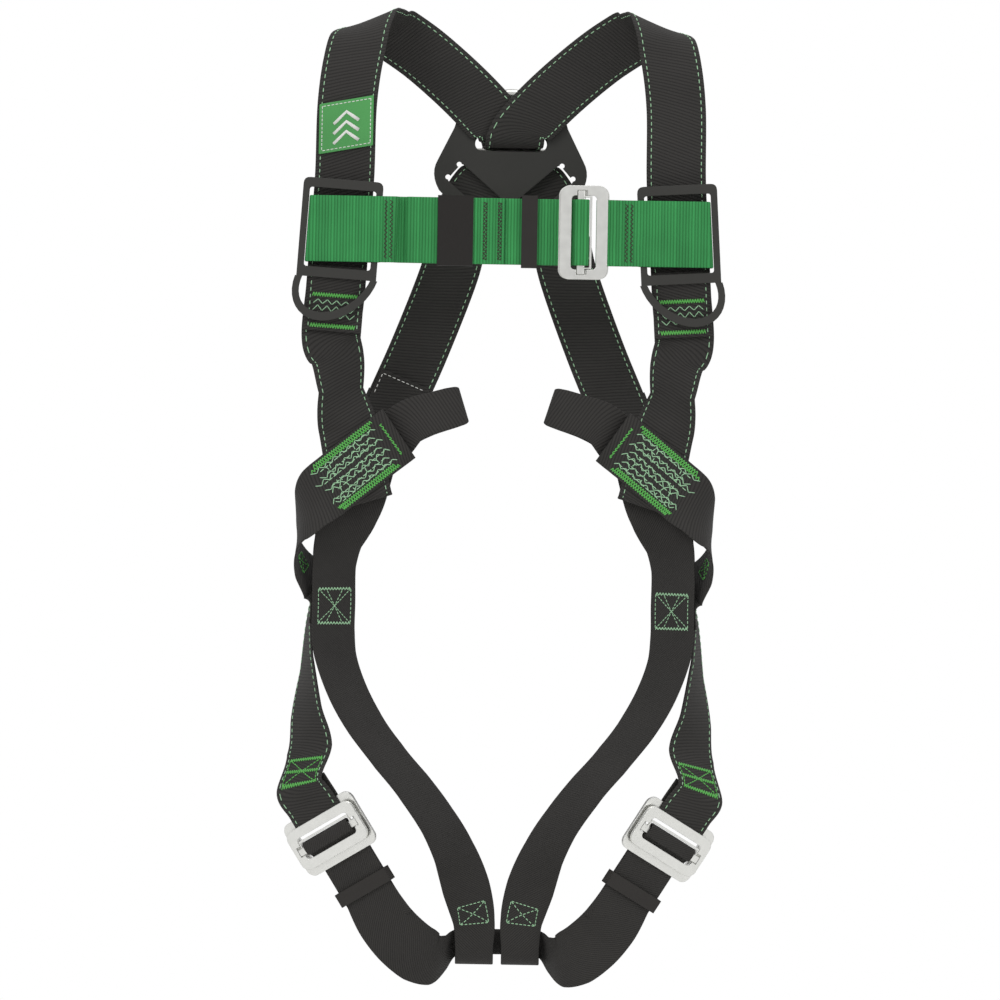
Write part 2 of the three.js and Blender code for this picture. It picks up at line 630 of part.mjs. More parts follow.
function slidingBar(buckle, windowV) {
  const length = windowV + 2 * BAR_NOTCH - 2 * TOUCH_GAP;
  const core = new THREE.Shape();
  roundedRectangle(core, BAR_CORE, BAR_CORE_THICK, BAR_CORE_THICK / 2 - 0.05);
  const extrusion = { depth: length, bevelEnabled: false, curveSegments: 3 };
  const coreSolid = new THREE.ExtrudeGeometry(core, extrusion);
  coreSolid.translate(buckle.barU, 0, -length / 2);
  const railU = buckle.barU + BAR_CORE / 2 + BEARING + BAR_TRAVEL + BEARING + RAIL / 2;
  const rail = new THREE.BoxGeometry(RAIL, BAR_CORE_THICK, windowV - 2);
  rail.translate(railU, 0, 0);
  const endWidth = railU - buckle.barU + RAIL / 2;
  const ends = [-1, 1].map((end) => {
    const tab = new THREE.BoxGeometry(endWidth, BAR_CORE_THICK, 1);
    return tab.translate(buckle.barU + endWidth / 2, 0, end * (windowV / 2 - 1));
  });
  return joined([coreSolid, rail, ...ends]);
}

function buckleSet(prefix, buckle, webWidth, place) {
  const windowV = webWidth + 4 + 2 * SIDE_ROOM;
  const femaleV = webWidth + 2 * SIDE_ROOM + 2 * buckle.femaleRim + 4;
  const maleV = windowV + 2 * buckle.rim + 2;
  const femaleWindow = [buckle.femaleU - 2 * buckle.femaleRim, femaleV - 2 * buckle.femaleRim];
  const notch = { width: BAR_CORE + BAR_TRAVEL + 2 * TOUCH_GAP, middle: buckle.barU + BAR_TRAVEL / 2 };
  const female = buckleFrame(buckle.femaleU, femaleV, femaleWindow[0], femaleWindow[1]);
  const male = buckleFrame(buckle.maleU, maleV, buckle.windowU, windowV, notch);
  const bar = slidingBar(buckle, windowV);
  for (const [name, geometry, forward] of [
    [`${prefix}_buckle_receiver`, female, 0],
    [`${prefix}_buckle_plate`, male, maleForward],
    [`${prefix}_buckle_sliding_bar`, bar, maleForward],
  ]) {
    geometry.translate(0, -forward, 0);
    geometry.applyMatrix4(place);
    addMesh(name, geometry, STEEL);
  }
}

// A band round a stack of layers: u along X, the webbing's width along Z, its middle at y = 0.
function band(webWidth, layers, wall, length) {
  const innerWidth = webWidth + 2 * TOUCH_GAP;
  const innerDepth = layers * WEB_THICK + (layers - 1) * LAYER_GAP + 2 * TOUCH_GAP;
  const outer = new THREE.BoxGeometry(length, innerDepth + 2 * wall, innerWidth + 2 * wall);
  const inner = new THREE.BoxGeometry(length + 2, innerDepth, innerWidth);
  return geometryOf(solid(outer).subtract(solid(inner)));
}

// ---- hip, thigh and leg webbing ---------------------------------------------------------

const hipFrontY = -FRONT_DEPTH - STEP - 0.6;
const crotchY = -FRONT_DEPTH / 2;
const thighX = HIP_HALF + 14.5; // thigh strap beside the hip
const thighY = -FRONT_DEPTH + 14.5;

function hipStrap(side) {
  const junction = [0.61, 0, 0.79];
  const inBack = [-0.7, 0.7, 0];
  const sewnX = thighX + 1.1 * STEP;
  const sewnY = thighY + 1.1 * STEP;
  return webbing(onSide(side, [
    station([HIP_HALF - 33, hipFrontY - 4.5, HIP_HEIGHT + 26], [0.5, 0.1, 0.86]),
    station([HIP_HALF - 25, hipFrontY - 2, HIP_HEIGHT + 20], junction),
    station([HIP_HALF - 14, hipFrontY, HIP_HEIGHT + 11.5], junction),
    station([HIP_HALF, hipFrontY, HIP_HEIGHT], junction),
    station([HIP_HALF + 13, hipFrontY, HIP_HEIGHT - 10.5], junction),
    station([HIP_HALF + 23, hipFrontY, HIP_HEIGHT - 19], [0.62, 0.05, 0.75]),
    station([HIP_HALF + 33.5, hipFrontY + 3, HIP_HEIGHT - 32], [0.5, 0.6, 0.5]),
    station([HIP_HALF + 40.5, hipFrontY + 10, HIP_HEIGHT - 47], [0.2, 0.95, 0.2]),
    station([HIP_HALF + 42.5, hipFrontY + 14, HIP_HEIGHT - 61], [-0.05, 1, 0]),
    station([HIP_HALF + 37.5, hipFrontY + 17.5, HIP_HEIGHT - 76], [-0.4, 0.9, 0]),
    station([HIP_HALF + 26, hipFrontY + 22, HIP_HEIGHT - 91], inBack),
    station([sewnX, sewnY, HIP_HEIGHT - 103], inBack),
    station([sewnX, sewnY, HIP_HEIGHT - 119], inBack),
  ]), 3);
}

function ventralLoop(side) {
  const upright = [0.3, 0, 0.95];
  const rootX = HIP_HALF - 26;
  const rootZ = HIP_HEIGHT + 22;
  const y = hipFrontY + 6;
  const at = (dx, dy, dz) => station([rootX + dx, y + dy, rootZ + dz], upright, LOOP_WEB_WIDTH);
  return webbing(onSide(side, [
    at(-4, -2, 3),
    at(-16, -7, 14),
    at(-32, -8.5, 20),
    at(-46, -8, 24),
    at(-53, -5, 26),
    at(-55, 0, 26.6),
    at(-53, 5, 26),
    at(-44, 8, 23.5),
    at(-28, 8, 18),
    at(-14, 7, 12),
    at(-2, 6.5, 3),
  ]), 3);
}

function thighStrap(side) {
  const turned = [0.68, -0.72, 0.1];
  const atHip = [0.7, -0.7, 0];
  const loopDepth = 13.5;
  const loopTop = CROTCH_HEIGHT + 16;
  const x = THIGH_LOOP_HALF;
  const level = [1, 0, 0];
  const end = GATHERED_WIDTH + 1;
  const around = ([y, z]) => station([x, y, z], level, end);
  return webbing(onSide(side, [
    station([HIP_HALF - 8, thighY, HIP_HEIGHT + 4], [0.956, 0, -0.29]),
    station([HIP_HALF - 1, thighY, HIP_HEIGHT - 22], [0.956, 0, -0.29]),
    station([HIP_HALF + 5, thighY, HIP_HEIGHT - 36], [0.95, -0.1, -0.25]),
    station([HIP_HALF + 12, thighY, HIP_HEIGHT - 57], [0.78, -0.6, 0]),
    station([thighX, thighY, HIP_HEIGHT - 75], atHip),
    station([thighX, thighY, HIP_HEIGHT - 103], atHip),
    station([thighX, thighY, HIP_HEIGHT - 127], atHip),
    station([HIP_HALF + 12, thighY + 1, HIP_HEIGHT - 145], turned),
    station([HIP_HALF + 3, thighY + 2, HIP_HEIGHT - 170], turned),
    station([HIP_HALF - 11, thighY + 4, HIP_HEIGHT - 195], turned),
    station([HIP_HALF - 29, thighY + 6, HIP_HEIGHT - 219], turned),
    station([HIP_HALF - 49, thighY + 9, HIP_HEIGHT - 243], turned),
    station([HIP_HALF - 67, thighY + 13, HIP_HEIGHT - 268], turned),
    station([HIP_HALF - 80, thighY + 16, HIP_HEIGHT - 292], [0.7, -0.6, 0.2]),
    station([HIP_HALF - 89.5, crotchY - loopDepth - 1, CROTCH_HEIGHT + 42], [0.8, -0.35, 0.2], WEB_WIDTH - 5),
    station([x + 0.5, crotchY - loopDepth, loopTop], [0.97, -0.1, 0.1], end + 3),
    ...arc(crotchY, CROTCH_HEIGHT - 3.2, loopDepth, 180, 360, 6).map(around),
    station([x, crotchY + 0.55 * loopDepth, loopTop], [0.97, -0.1, 0.1], end),
    station([x + 2, crotchY - loopDepth + STEP + 0.5, loopTop + 10], [0.95, -0.2, 0.1], end),
    station([x + 4, crotchY - loopDepth + STEP, loopTop + 22], [0.88, -0.28, 0.18], end),
  ]), 3);
}

// Axes of the leg buckle on one side: columns u, forward and v.
function legBuckleFrame(side) {
  const lean = radians(LEG_BUCKLE_LEAN);
  const turn = radians(LEG_BUCKLE_TURN);
  const up = new THREE.Vector3(side * Math.sin(lean), 0, Math.cos(lean));
  const bar = new THREE.Vector3(-side * Math.cos(lean), 0, Math.sin(lean));
  const facing = new THREE.Vector3(0, -1, 0);
  const spin = new THREE.Quaternion().setFromAxisAngle(up, side * turn);
  bar.applyQuaternion(spin);
  facing.applyQuaternion(spin);
  const middle = new THREE.Vector3(side * LEG_BUCKLE_HALF, -LEG_BUCKLE_DEPTH, LEG_BUCKLE_HEIGHT);
  return { up, bar, facing, middle };
}

// A point of the leg buckle's own axes, in the harness frame.
function legPoint(side, u, n) {
  const { up, facing, middle } = legBuckleFrame(side);
  return middle.clone().addScaledVector(up, u).addScaledVector(facing, n);
}

function legRiser(side) {
  const { bar } = legBuckleFrame(1);
  const across = bar.clone().negate().toArray();
  const atBuckle = ([u, n]) => station(legPoint(1, u, n).toArray(), across);
  const wrap = wrapRoundFrame(LEG_BUCKLE).map(atBuckle);
  const backY = behindPlateY(layerOf(-side)) - 10 + STEP;
  const down = [-0.92, 0, -0.38];
  const front = -(BUCKLE_THICK / 2 + BEARING);
  return webbing(onSide(side, [
    station([85, backY, HIP_HEIGHT + 53], down),
    station([95, backY - 6, HIP_HEIGHT + 29], down),
    station([110, backY - 11, HIP_HEIGHT + 2], [-0.8, 0.45, -0.4]),
    station([127, backY - 16, HIP_HEIGHT - 32], [-0.4, 0.9, -0.2]),
    station([140, backY - 21, HIP_HEIGHT - 68], [-0.1, 0.99, 0]),
    station([147.5, backY - 29, HIP_HEIGHT - 110], [0.05, 0.99, 0]),
    station([149, backY - 42, HIP_HEIGHT - 150], [0.2, 0.97, 0]),
    station([148.5, backY - 56, HIP_HEIGHT - 187], [0.5, 0.85, 0]),
    station([145, backY - 66, HIP_HEIGHT - 215], [0.75, 0.6, -0.2]),
    station(legPoint(1, 42, 3).toArray(), across),
    ...wrap,
    atBuckle([LEG_BUCKLE.femaleU / 2 + 12, front + 0.5]),
    atBuckle([LEG_BUCKLE.femaleU / 2 + 20, front + 1]),
  ]), 3);
}

// One strap from buckle to buckle, with its free ends tucked behind it.
function legStrap() {
  const { bar } = legBuckleFrame(1);
  const across = bar.clone().negate().toArray();
  const wrap = wrapRoundBar(LEG_BUCKLE);
  const atBuckle = ([u, n]) => station(legPoint(1, u, n).toArray(), across);
  const first = -(BUCKLE_THICK / 2 + BEARING);
  const second = first - STEP;
  const reach = -LEG_KEEPER_REACH;
  const tail = [
    atBuckle([reach - 34, second - 3]),
    atBuckle([reach - 16, second]),
    atBuckle([reach + 6, second]),
  ];
  const main = [
    atBuckle([reach + 6, first]),
    atBuckle([reach - 8, first]),
    station([86, -84, CROTCH_HEIGHT + 17], [0.75, 0.3, -0.62]),
    station([73, -81, CROTCH_HEIGHT + 2], [0.62, 0.15, -0.78]),
    station([59, -75, CROTCH_HEIGHT - 9], [0.42, 0.1, -0.9]),
    station([48, -66, CROTCH_HEIGHT - 13], [0.15, 0.2, -0.97], 41),
    station([40, -56, CROTCH_HEIGHT - 9], [0.05, 0.45, -0.89], 33),
    station([34, -48.5, CROTCH_HEIGHT - 2.5], [0, 0.62, -0.78], GATHERED_WIDTH),
    station([28, crotchY, CROTCH_HEIGHT], [0, 0.7, -0.71], GATHERED_WIDTH),
    station([5, crotchY, CROTCH_HEIGHT], [0, 0.7, -0.71], GATHERED_WIDTH),
  ];
  const half = [...tail, ...wrap.slice().reverse().map(atBuckle), ...main];
  return webbing([...half, ...mirrored(half).reverse()], 3);
}

// ---- assembly ----------------------------------------------------------------------------

const SIDES = [[-1, "right"], [1, "left"]];

dorsalRing();
dorsalPlate();
for (const [side, name] of SIDES) {
  addMesh(`${name}_shoulder_strap`, shoulderStrap(side), BLACK_WEB);
  dFrame(side, `${name}_d_frame`);
  addMesh(`${name}_frame_tie_loop`, tieLoop(side), BLACK_WEB);
  addMesh(`${name}_hip_strap`, hipStrap(side), BLACK_WEB);
  addMesh(`${name}_ventral_loop`, ventralLoop(side), BLACK_WEB);
  addMesh(`${name}_thigh_strap`, thighStrap(side), BLACK_WEB);
  addMesh(`${name}_leg_riser`, legRiser(side), BLACK_WEB);
  const { up, facing, middle } = legBuckleFrame(side);
  const back = facing.clone().negate();
  const basis = new THREE.Matrix4().makeBasis(up, back, up.clone().cross(back)).setPosition(middle);
  buckleSet(`${name}_leg`, LEG_BUCKLE, WEB_WIDTH, basis);
  const keeper = band(WEB_WIDTH, 2, KEEPER_THICK, LEG_KEEPER_WIDTH);
  const layers = -(BUCKLE_THICK / 2 + BEARING + STEP / 2);
  keeper.applyMatrix4(basis.clone().setPosition(legPoint(side, -LEG_KEEPER_REACH, layers)));
  addMesh(`${name}_leg_keeper`, keeper, BLACK_PLASTIC);
}
addMesh("shoulder_patch", shoulderPatch(), GREEN_RUBBER);
addMesh("label_pocket", labelPocket(), BLACK_WEB);
addMesh("chest_strap_buckle_side", chestStrapLeft(), GREEN_WEB);
addMesh("chest_strap_receiver_side", chestStrapRight(), GREEN_WEB);
addMesh("leg_strap", legStrap(), BLACK_WEB);
const chestPlace = new THREE.Matrix4().makeTranslation(CHEST_BUCKLE_X, femaleY, CHEST_HEIGHT);
buckleSet("chest", CHEST_BUCKLE, CHEST_WEB_WIDTH, chestPlace);

const elastic = band(CHEST_WEB_WIDTH, 3, ELASTIC_THICK, ELASTIC_WIDTH);
elastic.translate(-41, frontLayerY, CHEST_HEIGHT);
addMesh("chest_elastic_keeper", elastic, ELASTIC);
const slider = band(CHEST_WEB_WIDTH, 2, KEEPER_THICK, CHEST_KEEPER_WIDTH);
slider.translate(15, (frontLayerY + backLayerY) / 2, CHEST_HEIGHT);
addMesh("chest_keeper", slider, BLACK_PLASTIC);

export default harness;
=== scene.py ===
"""A full-body fall-arrest harness, hanging from its dorsal ring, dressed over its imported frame.

Metres in the scene, millimetres in the sizes below. +Z is up, the wearer faces -Y and +X is the
wearer's left. The origin is the point inside the top of the dorsal ring where a hook bears.
"""
import logging
import math
from dataclasses import dataclass, field
from enum import Enum
from typing import Sequence

import bpy
import numpy as np
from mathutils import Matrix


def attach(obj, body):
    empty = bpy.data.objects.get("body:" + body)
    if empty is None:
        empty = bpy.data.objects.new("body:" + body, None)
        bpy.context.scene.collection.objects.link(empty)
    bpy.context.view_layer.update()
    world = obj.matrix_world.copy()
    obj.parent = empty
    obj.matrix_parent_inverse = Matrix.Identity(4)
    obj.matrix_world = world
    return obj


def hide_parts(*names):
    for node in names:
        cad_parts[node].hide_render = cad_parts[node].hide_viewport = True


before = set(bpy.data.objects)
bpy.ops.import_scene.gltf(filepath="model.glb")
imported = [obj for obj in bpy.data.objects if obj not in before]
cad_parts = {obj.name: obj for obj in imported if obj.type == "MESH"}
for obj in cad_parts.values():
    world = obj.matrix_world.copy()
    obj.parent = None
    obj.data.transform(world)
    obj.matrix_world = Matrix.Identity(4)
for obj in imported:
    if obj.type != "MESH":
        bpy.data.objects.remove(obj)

MM = 0.001
LOG = logging.getLogger("harness")
MATH = "ShaderNodeMath"
VECTOR_MATH = "ShaderNodeVectorMath"
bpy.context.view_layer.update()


# ---- shared sizes ------------------------------------------------------------------------------


@dataclass(frozen=True)
class Sizes:
    """Sizes that several sub-assemblies share, in millimetres."""

    web_width: float = 45.0
    chest_web_width: float = 50.0
    loop_web_width: float = 31.0
    web_thick: float = 1.6
    layer_gap: float = 0.5
    crossing_gap: float = 2.8
    touch_gap: float = 0.35
    gathered_width: float = 28.0
    ring_wire: float = 8.0
    ring_bar: float = 58.0
    ring_eye: float = 38.0
    plate_thick: float = 3.5
    shoulder_half: float = 125.0
    front_depth: float = 92.0
    shoulder_top: float = 56.0
    chest_height: float = -105.0
    hip_height: float = -285.0
    hip_half: float = 114.0
    crotch_height: float = -645.0
    thigh_loop_half: float = 17.5
    frame_bar: float = 5.0
    frame_window_height: float = 60.0
    frame_crossbar: float = 7.6
    frame_thick: float = 4.0
    frame_tilt: float = 3.6
    tie_bar: float = 3.0
    tie_length: float = 44.0
    buckle_thick: float = 2.5
    bar_core: float = 6.0
    bar_core_thick: float = 2.4
    bar_travel: float = 1.2
    frame_offset: float = 5.0
    receiver_lead: float = 2.2
    loop_play: float = 0.4
    hip_play: float = 0.6

    @property
    def step(self) -> float:
        """Middle of one webbing layer to the middle of the next."""
        return self.web_thick + self.layer_gap

    @property
    def cross_step(self) -> float:
        """The same, where the shoulder straps cross at the back."""
        return self.web_thick + self.crossing_gap

    @property
    def bearing(self) -> float:
        """A hardware face to the middle of the webbing that bears on it."""
        return self.web_thick / 2 + self.touch_gap

    @property
    def ring_bar_z(self) -> float:
        """Height of the dorsal ring's straight bar."""
        return -self.ring_eye - self.ring_wire / 2

    @property
    def plate_y(self) -> float:
        """Middle of the dorsal plate."""
        return -(self.ring_wire / 2 + self.touch_gap + self.plate_thick / 2)

    @property
    def inner_wrap(self) -> float:
        """Ring bar axis to the first webbing layer round it."""
        return self.ring_wire / 2 + self.bearing

    @property
    def slot_z(self) -> float:
        """Middle of the plate's upper slot."""
        return self.ring_bar_z + self.inner_wrap + self.cross_step / 2

    @property
    def tie_back_y(self) -> float:
        """Rear layer of the loops that tie the D-frames to the shoulder straps."""
        return -self.front_depth - self.step

    @property
    def tie_bar_y(self) -> float:
        """Middle of the D-frames' rear bar."""
        return self.tie_back_y - self.bearing - self.tie_bar / 2

    @property
    def tie_front_y(self) -> float:
        """Front layer of the same loops."""
        return self.tie_bar_y - self.tie_bar / 2 - self.bearing

    @property
    def frame_y(self) -> float:
        """Middle of the D-frames' front plate."""
        return self.tie_front_y - self.bearing - self.frame_thick / 2

    @property
    def receiver_y(self) -> float:
        """Middle of the chest buckle's receiving frame."""
        return self.frame_y - self.receiver_lead

    @property
    def frame_window(self) -> float:
        """Width of a D-frame's window."""
        return self.web_width + 2 * (self.loop_room + self.bearing)

    @property
    def loop_room(self) -> float:
        """Shoulder strap edge to the middle of the chest loop beside it."""
        return self.bearing + self.loop_play

    @property
    def crossbar_top(self) -> float:
        """Top of a D-frame's crossbar."""
        return self.chest_height - self.frame_window_height / 2

    @property
    def plate_forward(self) -> float:
        """A buckle's plate in front of its receiver."""
        return self.buckle_thick + self.web_thick + 2 * self.touch_gap

    @property
    def hip_front_y(self) -> float:
        """Hip straps in front of the shoulder straps' ends."""
        return -self.front_depth - self.step - self.hip_play

    def frame_x(self, z: float) -> float:
        """Middle line of a tilted D-frame at height z."""
        lean = math.tan(math.radians(self.frame_tilt))
        return self.shoulder_half + self.frame_offset - (z - self.crossbar_top) * lean

    def behind_plate_y(self, layer: int) -> float:
        """A shoulder strap of one layer where it lies behind the plate."""
        return self.plate_y + self.plate_thick / 2 + 2 * self.bearing + layer * self.cross_step


@dataclass(frozen=True)
class BuckleSizes:
    """One pass-through buckle in its own axes: u along the strap, v along the bar."""

    receiver_u: float
    receiver_rim: float
    bar_u: float


SIZES = Sizes()
CHEST_BUCKLE = BuckleSizes(receiver_u=38.0, receiver_rim=7.0, bar_u=-2.0)
LEG_BUCKLE = BuckleSizes(receiver_u=45.0, receiver_rim=9.0, bar_u=-1.5)


class Side(Enum):
    """The wearer's sides, by the sign of X."""

    RIGHT = -1
    LEFT = 1

    @property
    def word(self) -> str:
        """The side as the node names spell it."""
        return self.name.lower()

    @property
    def layer(self) -> int:
        """0 where this side's shoulder strap bears on the ring bar, 1 outside the other one."""
        return 1 if self is Side.RIGHT else 0


# ---- colours and node building ----------------------------------------------------------------


def linear(code: str) -> tuple[float, float, float, float]:
    """Turns an sRGB hex code into linear RGBA.

    Each channel c becomes c / 12.92 up to 0.04045 and ((c + 0.055) / 1.055) ** 2.4 above it.

    Args:
        code: Six hex digits after a hash sign.

    Returns:
        Linear red, green, blue and an alpha of one.
    """
    parts = [int(code[i : i + 2], 16) / 255 for i in (1, 3, 5)]
    lin = [c / 12.92 if c <= 0.04045 else ((c + 0.055) / 1.055) ** 2.4 for c in parts]
    return (lin[0], lin[1], lin[2], 1.0)


def add_node(
    tree: bpy.types.NodeTree, kind: str, settings: dict | None = None, **sockets: object
) -> bpy.types.Node:
    """Adds one shader node, sets it up and wires its inputs.

    Args:
        tree: The material's node tree.
        kind: The node's bl_idname.
        settings: Attribute values of the node.
        **sockets: Input values, output sockets or nodes whose first output is meant, by input
            name with spaces as underscores, or by position as i0, i1 and so on.

    Returns:
        The new node.
    """
    node = tree.nodes.new(kind)
    for key, value in (settings or {}).items():
        setattr(node, key, value)
    for key, value in sockets.items():
        by_place = key[0] == "i" and key[1:].isdigit()
        target = node.inputs[int(key[1:])] if by_place else node.inputs[key.replace("_", " ")]
        if isinstance(value, bpy.types.Node):
            value = value.outputs[0]
        if isinstance(value, bpy.types.NodeSocket):
            tree.links.new(value, target)
        else:
            target.default_value = value
    return node


def noise(
    tree: bpy.types.NodeTree,
    size: float,
    detail: float = 3.0,
    stretch: Sequence[float] = (1.0, 1.0, 1.0),
) -> bpy.types.NodeSocket:
    """Adds noise on object coordinates.

    Args:
        tree: The material's node tree.
        size: Width of its features in millimetres.
        detail: Number of finer layers.
        stretch: Scale of the coordinates along X, Y and Z.

    Returns:
        The noise, from 0 to 1.
    """
    place = add_node(tree, "ShaderNodeTexCoord").outputs["Object"]
    mapped = add_node(tree, "ShaderNodeMapping", None, Vector=place, Scale=stretch)
    scale = 1.0 / (size * MM)
    made = add_node(tree, "ShaderNodeTexNoise", None, Vector=mapped, Scale=scale, Detail=detail)
    return made.outputs[0]


def new_material(name: str) -> tuple[bpy.types.Material, bpy.types.NodeTree, bpy.types.Node]:
    """Makes an empty material with one Principled shader wired to its output.

    Args:
        name: The material's name.

    Returns:
        The material, its node tree and its shader.
    """
    material = bpy.data.materials.new(name)
    material.use_nodes = True
    tree = material.node_tree
    shader = next(n for n in tree.nodes if n.type == "BSDF_PRINCIPLED")
    return material, tree, shader


# ---- finishes -----------------------------------------------------------------------------------


@dataclass(frozen=True)
class WovenWebbing:
    """Heavy polyester webbing: ribs across the run, made of twisted yarns, with a soft sheen."""

    name: str
    crown: str
    # colour painted into the grooves and between the yarns as shade
    groove_shade: str
    rib_pitch: float
    rib_slant: float = 0.0
    yarn_pitch: float = 1.1
    rib_depth: float = 0.35
    roughness: float = 0.72
    variation: float = 0.12
    wander: float = 14.0
    fuzz: float = 0.5
    cloud: float = 35.0

    def build(self) -> bpy.types.Material:
        """Builds the material.

        The UV map holds millimetres: U across the webbing and V along it. The rib phase is
        (V + U * slant) / pitch; the rib height is the absolute sine of half that phase. Yarns run
        along each rib, shifted by half a yarn from rib to rib. Each rib has its own tint. The colour
        goes from the crown colour on the rib tops to the darker groove colour down in the grooves
        and between the yarns: painted shade.

        Returns:
            The finished material.
        """
        material, tree, shader = new_material(self.name)
        uv = add_node(tree, "ShaderNodeUVMap", {"uv_map": "run"})
        parts = add_node(tree, "ShaderNodeSeparateXYZ", None, Vector=uv)
        across, along = parts.outputs[0], parts.outputs[1]
        drift = noise(tree, self.wander, 2.0)
        drift = add_node(tree, MATH, {"operation": "MULTIPLY"}, i0=drift, i1=0.5)
        slope = {"operation": "MULTIPLY_ADD"}
        slanted = add_node(tree, MATH, slope, i0=across, i1=self.rib_slant, i2=along)
        place = add_node(tree, MATH, {"operation": "ADD"}, i0=slanted, i1=drift)
        phase = add_node(tree, MATH, {"operation": "DIVIDE"}, i0=place, i1=self.rib_pitch)
        turn = add_node(tree, MATH, {"operation": "MULTIPLY"}, i0=phase, i1=math.pi)
        wave = add_node(tree, MATH, {"operation": "SINE"}, i0=turn)
        rib = add_node(tree, MATH, {"operation": "ABSOLUTE"}, i0=wave)
        number = add_node(tree, MATH, {"operation": "FLOOR"}, i0=phase)
        yarn_phase = add_node(tree, MATH, {"operation": "DIVIDE"}, i0=across, i1=self.yarn_pitch)
        yarn_shift = add_node(tree, MATH, slope, i0=number, i1=0.5, i2=yarn_phase)
        yarn_turn = add_node(tree, MATH, {"operation": "MULTIPLY"}, i0=yarn_shift, i1=math.pi)
        yarn_wave = add_node(tree, MATH, {"operation": "SINE"}, i0=yarn_turn)
        yarn = add_node(tree, MATH, {"operation": "ABSOLUTE"}, i0=yarn_wave)
        fuzz = noise(tree, self.fuzz, 4.0)
        body = add_node(tree, MATH, {"operation": "POWER"}, i0=rib, i1=0.6)
        raised = add_node(tree, MATH, slope, i0=yarn, i1=0.22, i2=body)
        height = add_node(tree, MATH, slope, i0=fuzz, i1=0.25, i2=raised)
        tint = add_node(tree, "ShaderNodeTexWhiteNoise", {"noise_dimensions": "1D"}, i1=number)
        cloud = noise(tree, self.cloud, 2.0)
        tinted = add_node(tree, MATH, {"operation": "MULTIPLY"}, i0=tint, i1=self.variation)
        mottle = add_node(tree, MATH, {"operation": "ADD"}, i0=tinted, i1=cloud)
        shade = add_node(tree, MATH, slope, i0=mottle, i1=0.3, i2=0.8 - self.variation / 2)
        # painted shade: the colour goes from the crown colour on the rib tops to the groove colour down in
        # the grooves and between the yarns
        lit = add_node(tree, MATH, {"operation": "MULTIPLY"}, i0=body, i1=0.8)
        depth = add_node(tree, MATH, slope | {"use_clamp": True}, i0=yarn, i1=0.25, i2=lit)
        groove_shade, crown = linear(self.groove_shade), linear(self.crown)
        colour = add_node(tree, "ShaderNodeMix", {"data_type": "RGBA"}, i0=depth, i6=groove_shade, i7=crown)
        mixed = colour.outputs[2]
        shaded = add_node(tree, VECTOR_MATH, {"operation": "SCALE"}, i0=mixed, Scale=shade)
        deep = self.rib_depth * MM
        bump = add_node(tree, "ShaderNodeBump", None, Height=height, Distance=deep, Strength=0.8)
        rough = add_node(tree, MATH, slope, i0=fuzz, i1=0.16, i2=self.roughness - 0.08)
        tree.links.new(shaded.outputs[0], shader.inputs["Base Color"])
        tree.links.new(rough.outputs[0], shader.inputs["Roughness"])
        tree.links.new(bump.outputs[0], shader.inputs["Normal"])
        shader.inputs["Sheen Weight"].default_value = 0.03
        shader.inputs["Sheen Roughness"].default_value = 0.5
        shader.inputs["Specular IOR Level"].default_value = 0.3
        return material


@dataclass(frozen=True)
class SewingThread:
    """Bonded polyester thread, three-ply, slightly glossy."""

    name: str
    colour: str
    ply: float = 0.6

    def build(self) -> bpy.types.Material:
        """Builds the material: fine ply noise tints and roughens the thread."""
        material, tree, shader = new_material(self.name)
        ply = noise(tree, self.ply, 2.0)
        shade = add_node(tree, MATH, {"operation": "MULTIPLY_ADD"}, i0=ply, i1=0.5, i2=0.72)
        plain = linear(self.colour)[:3]
        base = add_node(tree, VECTOR_MATH, {"operation": "SCALE"}, i0=plain, Scale=shade)
        deep = 0.15 * MM
        bump = add_node(tree, "ShaderNodeBump", None, Height=ply, Distance=deep, Strength=0.7)
        tree.links.new(base.outputs[0], shader.inputs["Base Color"])
        tree.links.new(bump.outputs[0], shader.inputs["Normal"])
        shader.inputs["Roughness"].default_value = 0.48
        shader.inputs["Sheen Weight"].default_value = 0.15
        return material


@dataclass(frozen=True)
class MouldedPlastic:
    """Injection-moulded polyamide: satin, spark-eroded grain, rounded edges."""

    name: str
    colour: str
    grain: float = 0.35
    roughness: float = 0.46
    edge: float = 0.7
    grain_depth: float = 0.03
    marks: float = 9.0
    cloud: float = 40.0

    def build(self) -> bpy.types.Material:
        """Builds the material: grain bump over rounded edges, with handling marks in the gloss."""
        material, tree, shader = new_material(self.name)
        rounded = add_node(tree, "ShaderNodeBevel", {"samples": 4}, Radius=self.edge * MM)
        grain = noise(tree, self.grain, 2.0)
        deep = self.grain_depth * MM
        bump = add_node(tree, "ShaderNodeBump", None, Height=grain, Distance=deep, Normal=rounded)
        marks = noise(tree, self.marks, 4.0)
        cloud = noise(tree, self.cloud, 2.0)
        slope = {"operation": "MULTIPLY_ADD"}
        tone = add_node(tree, MATH, slope, i0=cloud, i1=0.3, i2=0.86)
        plain = linear(self.colour)[:3]
        base = add_node(tree, VECTOR_MATH, {"operation": "SCALE"}, i0=plain, Scale=tone)
        rough = add_node(tree, MATH, slope, i0=marks, i1=0.22, i2=self.roughness - 0.11)
        tree.links.new(base.outputs[0], shader.inputs["Base Color"])
        tree.links.new(rough.outputs[0], shader.inputs["Roughness"])
        tree.links.new(bump.outputs[0], shader.inputs["Normal"])
        shader.inputs["Specular IOR Level"].default_value = 0.45
        return material


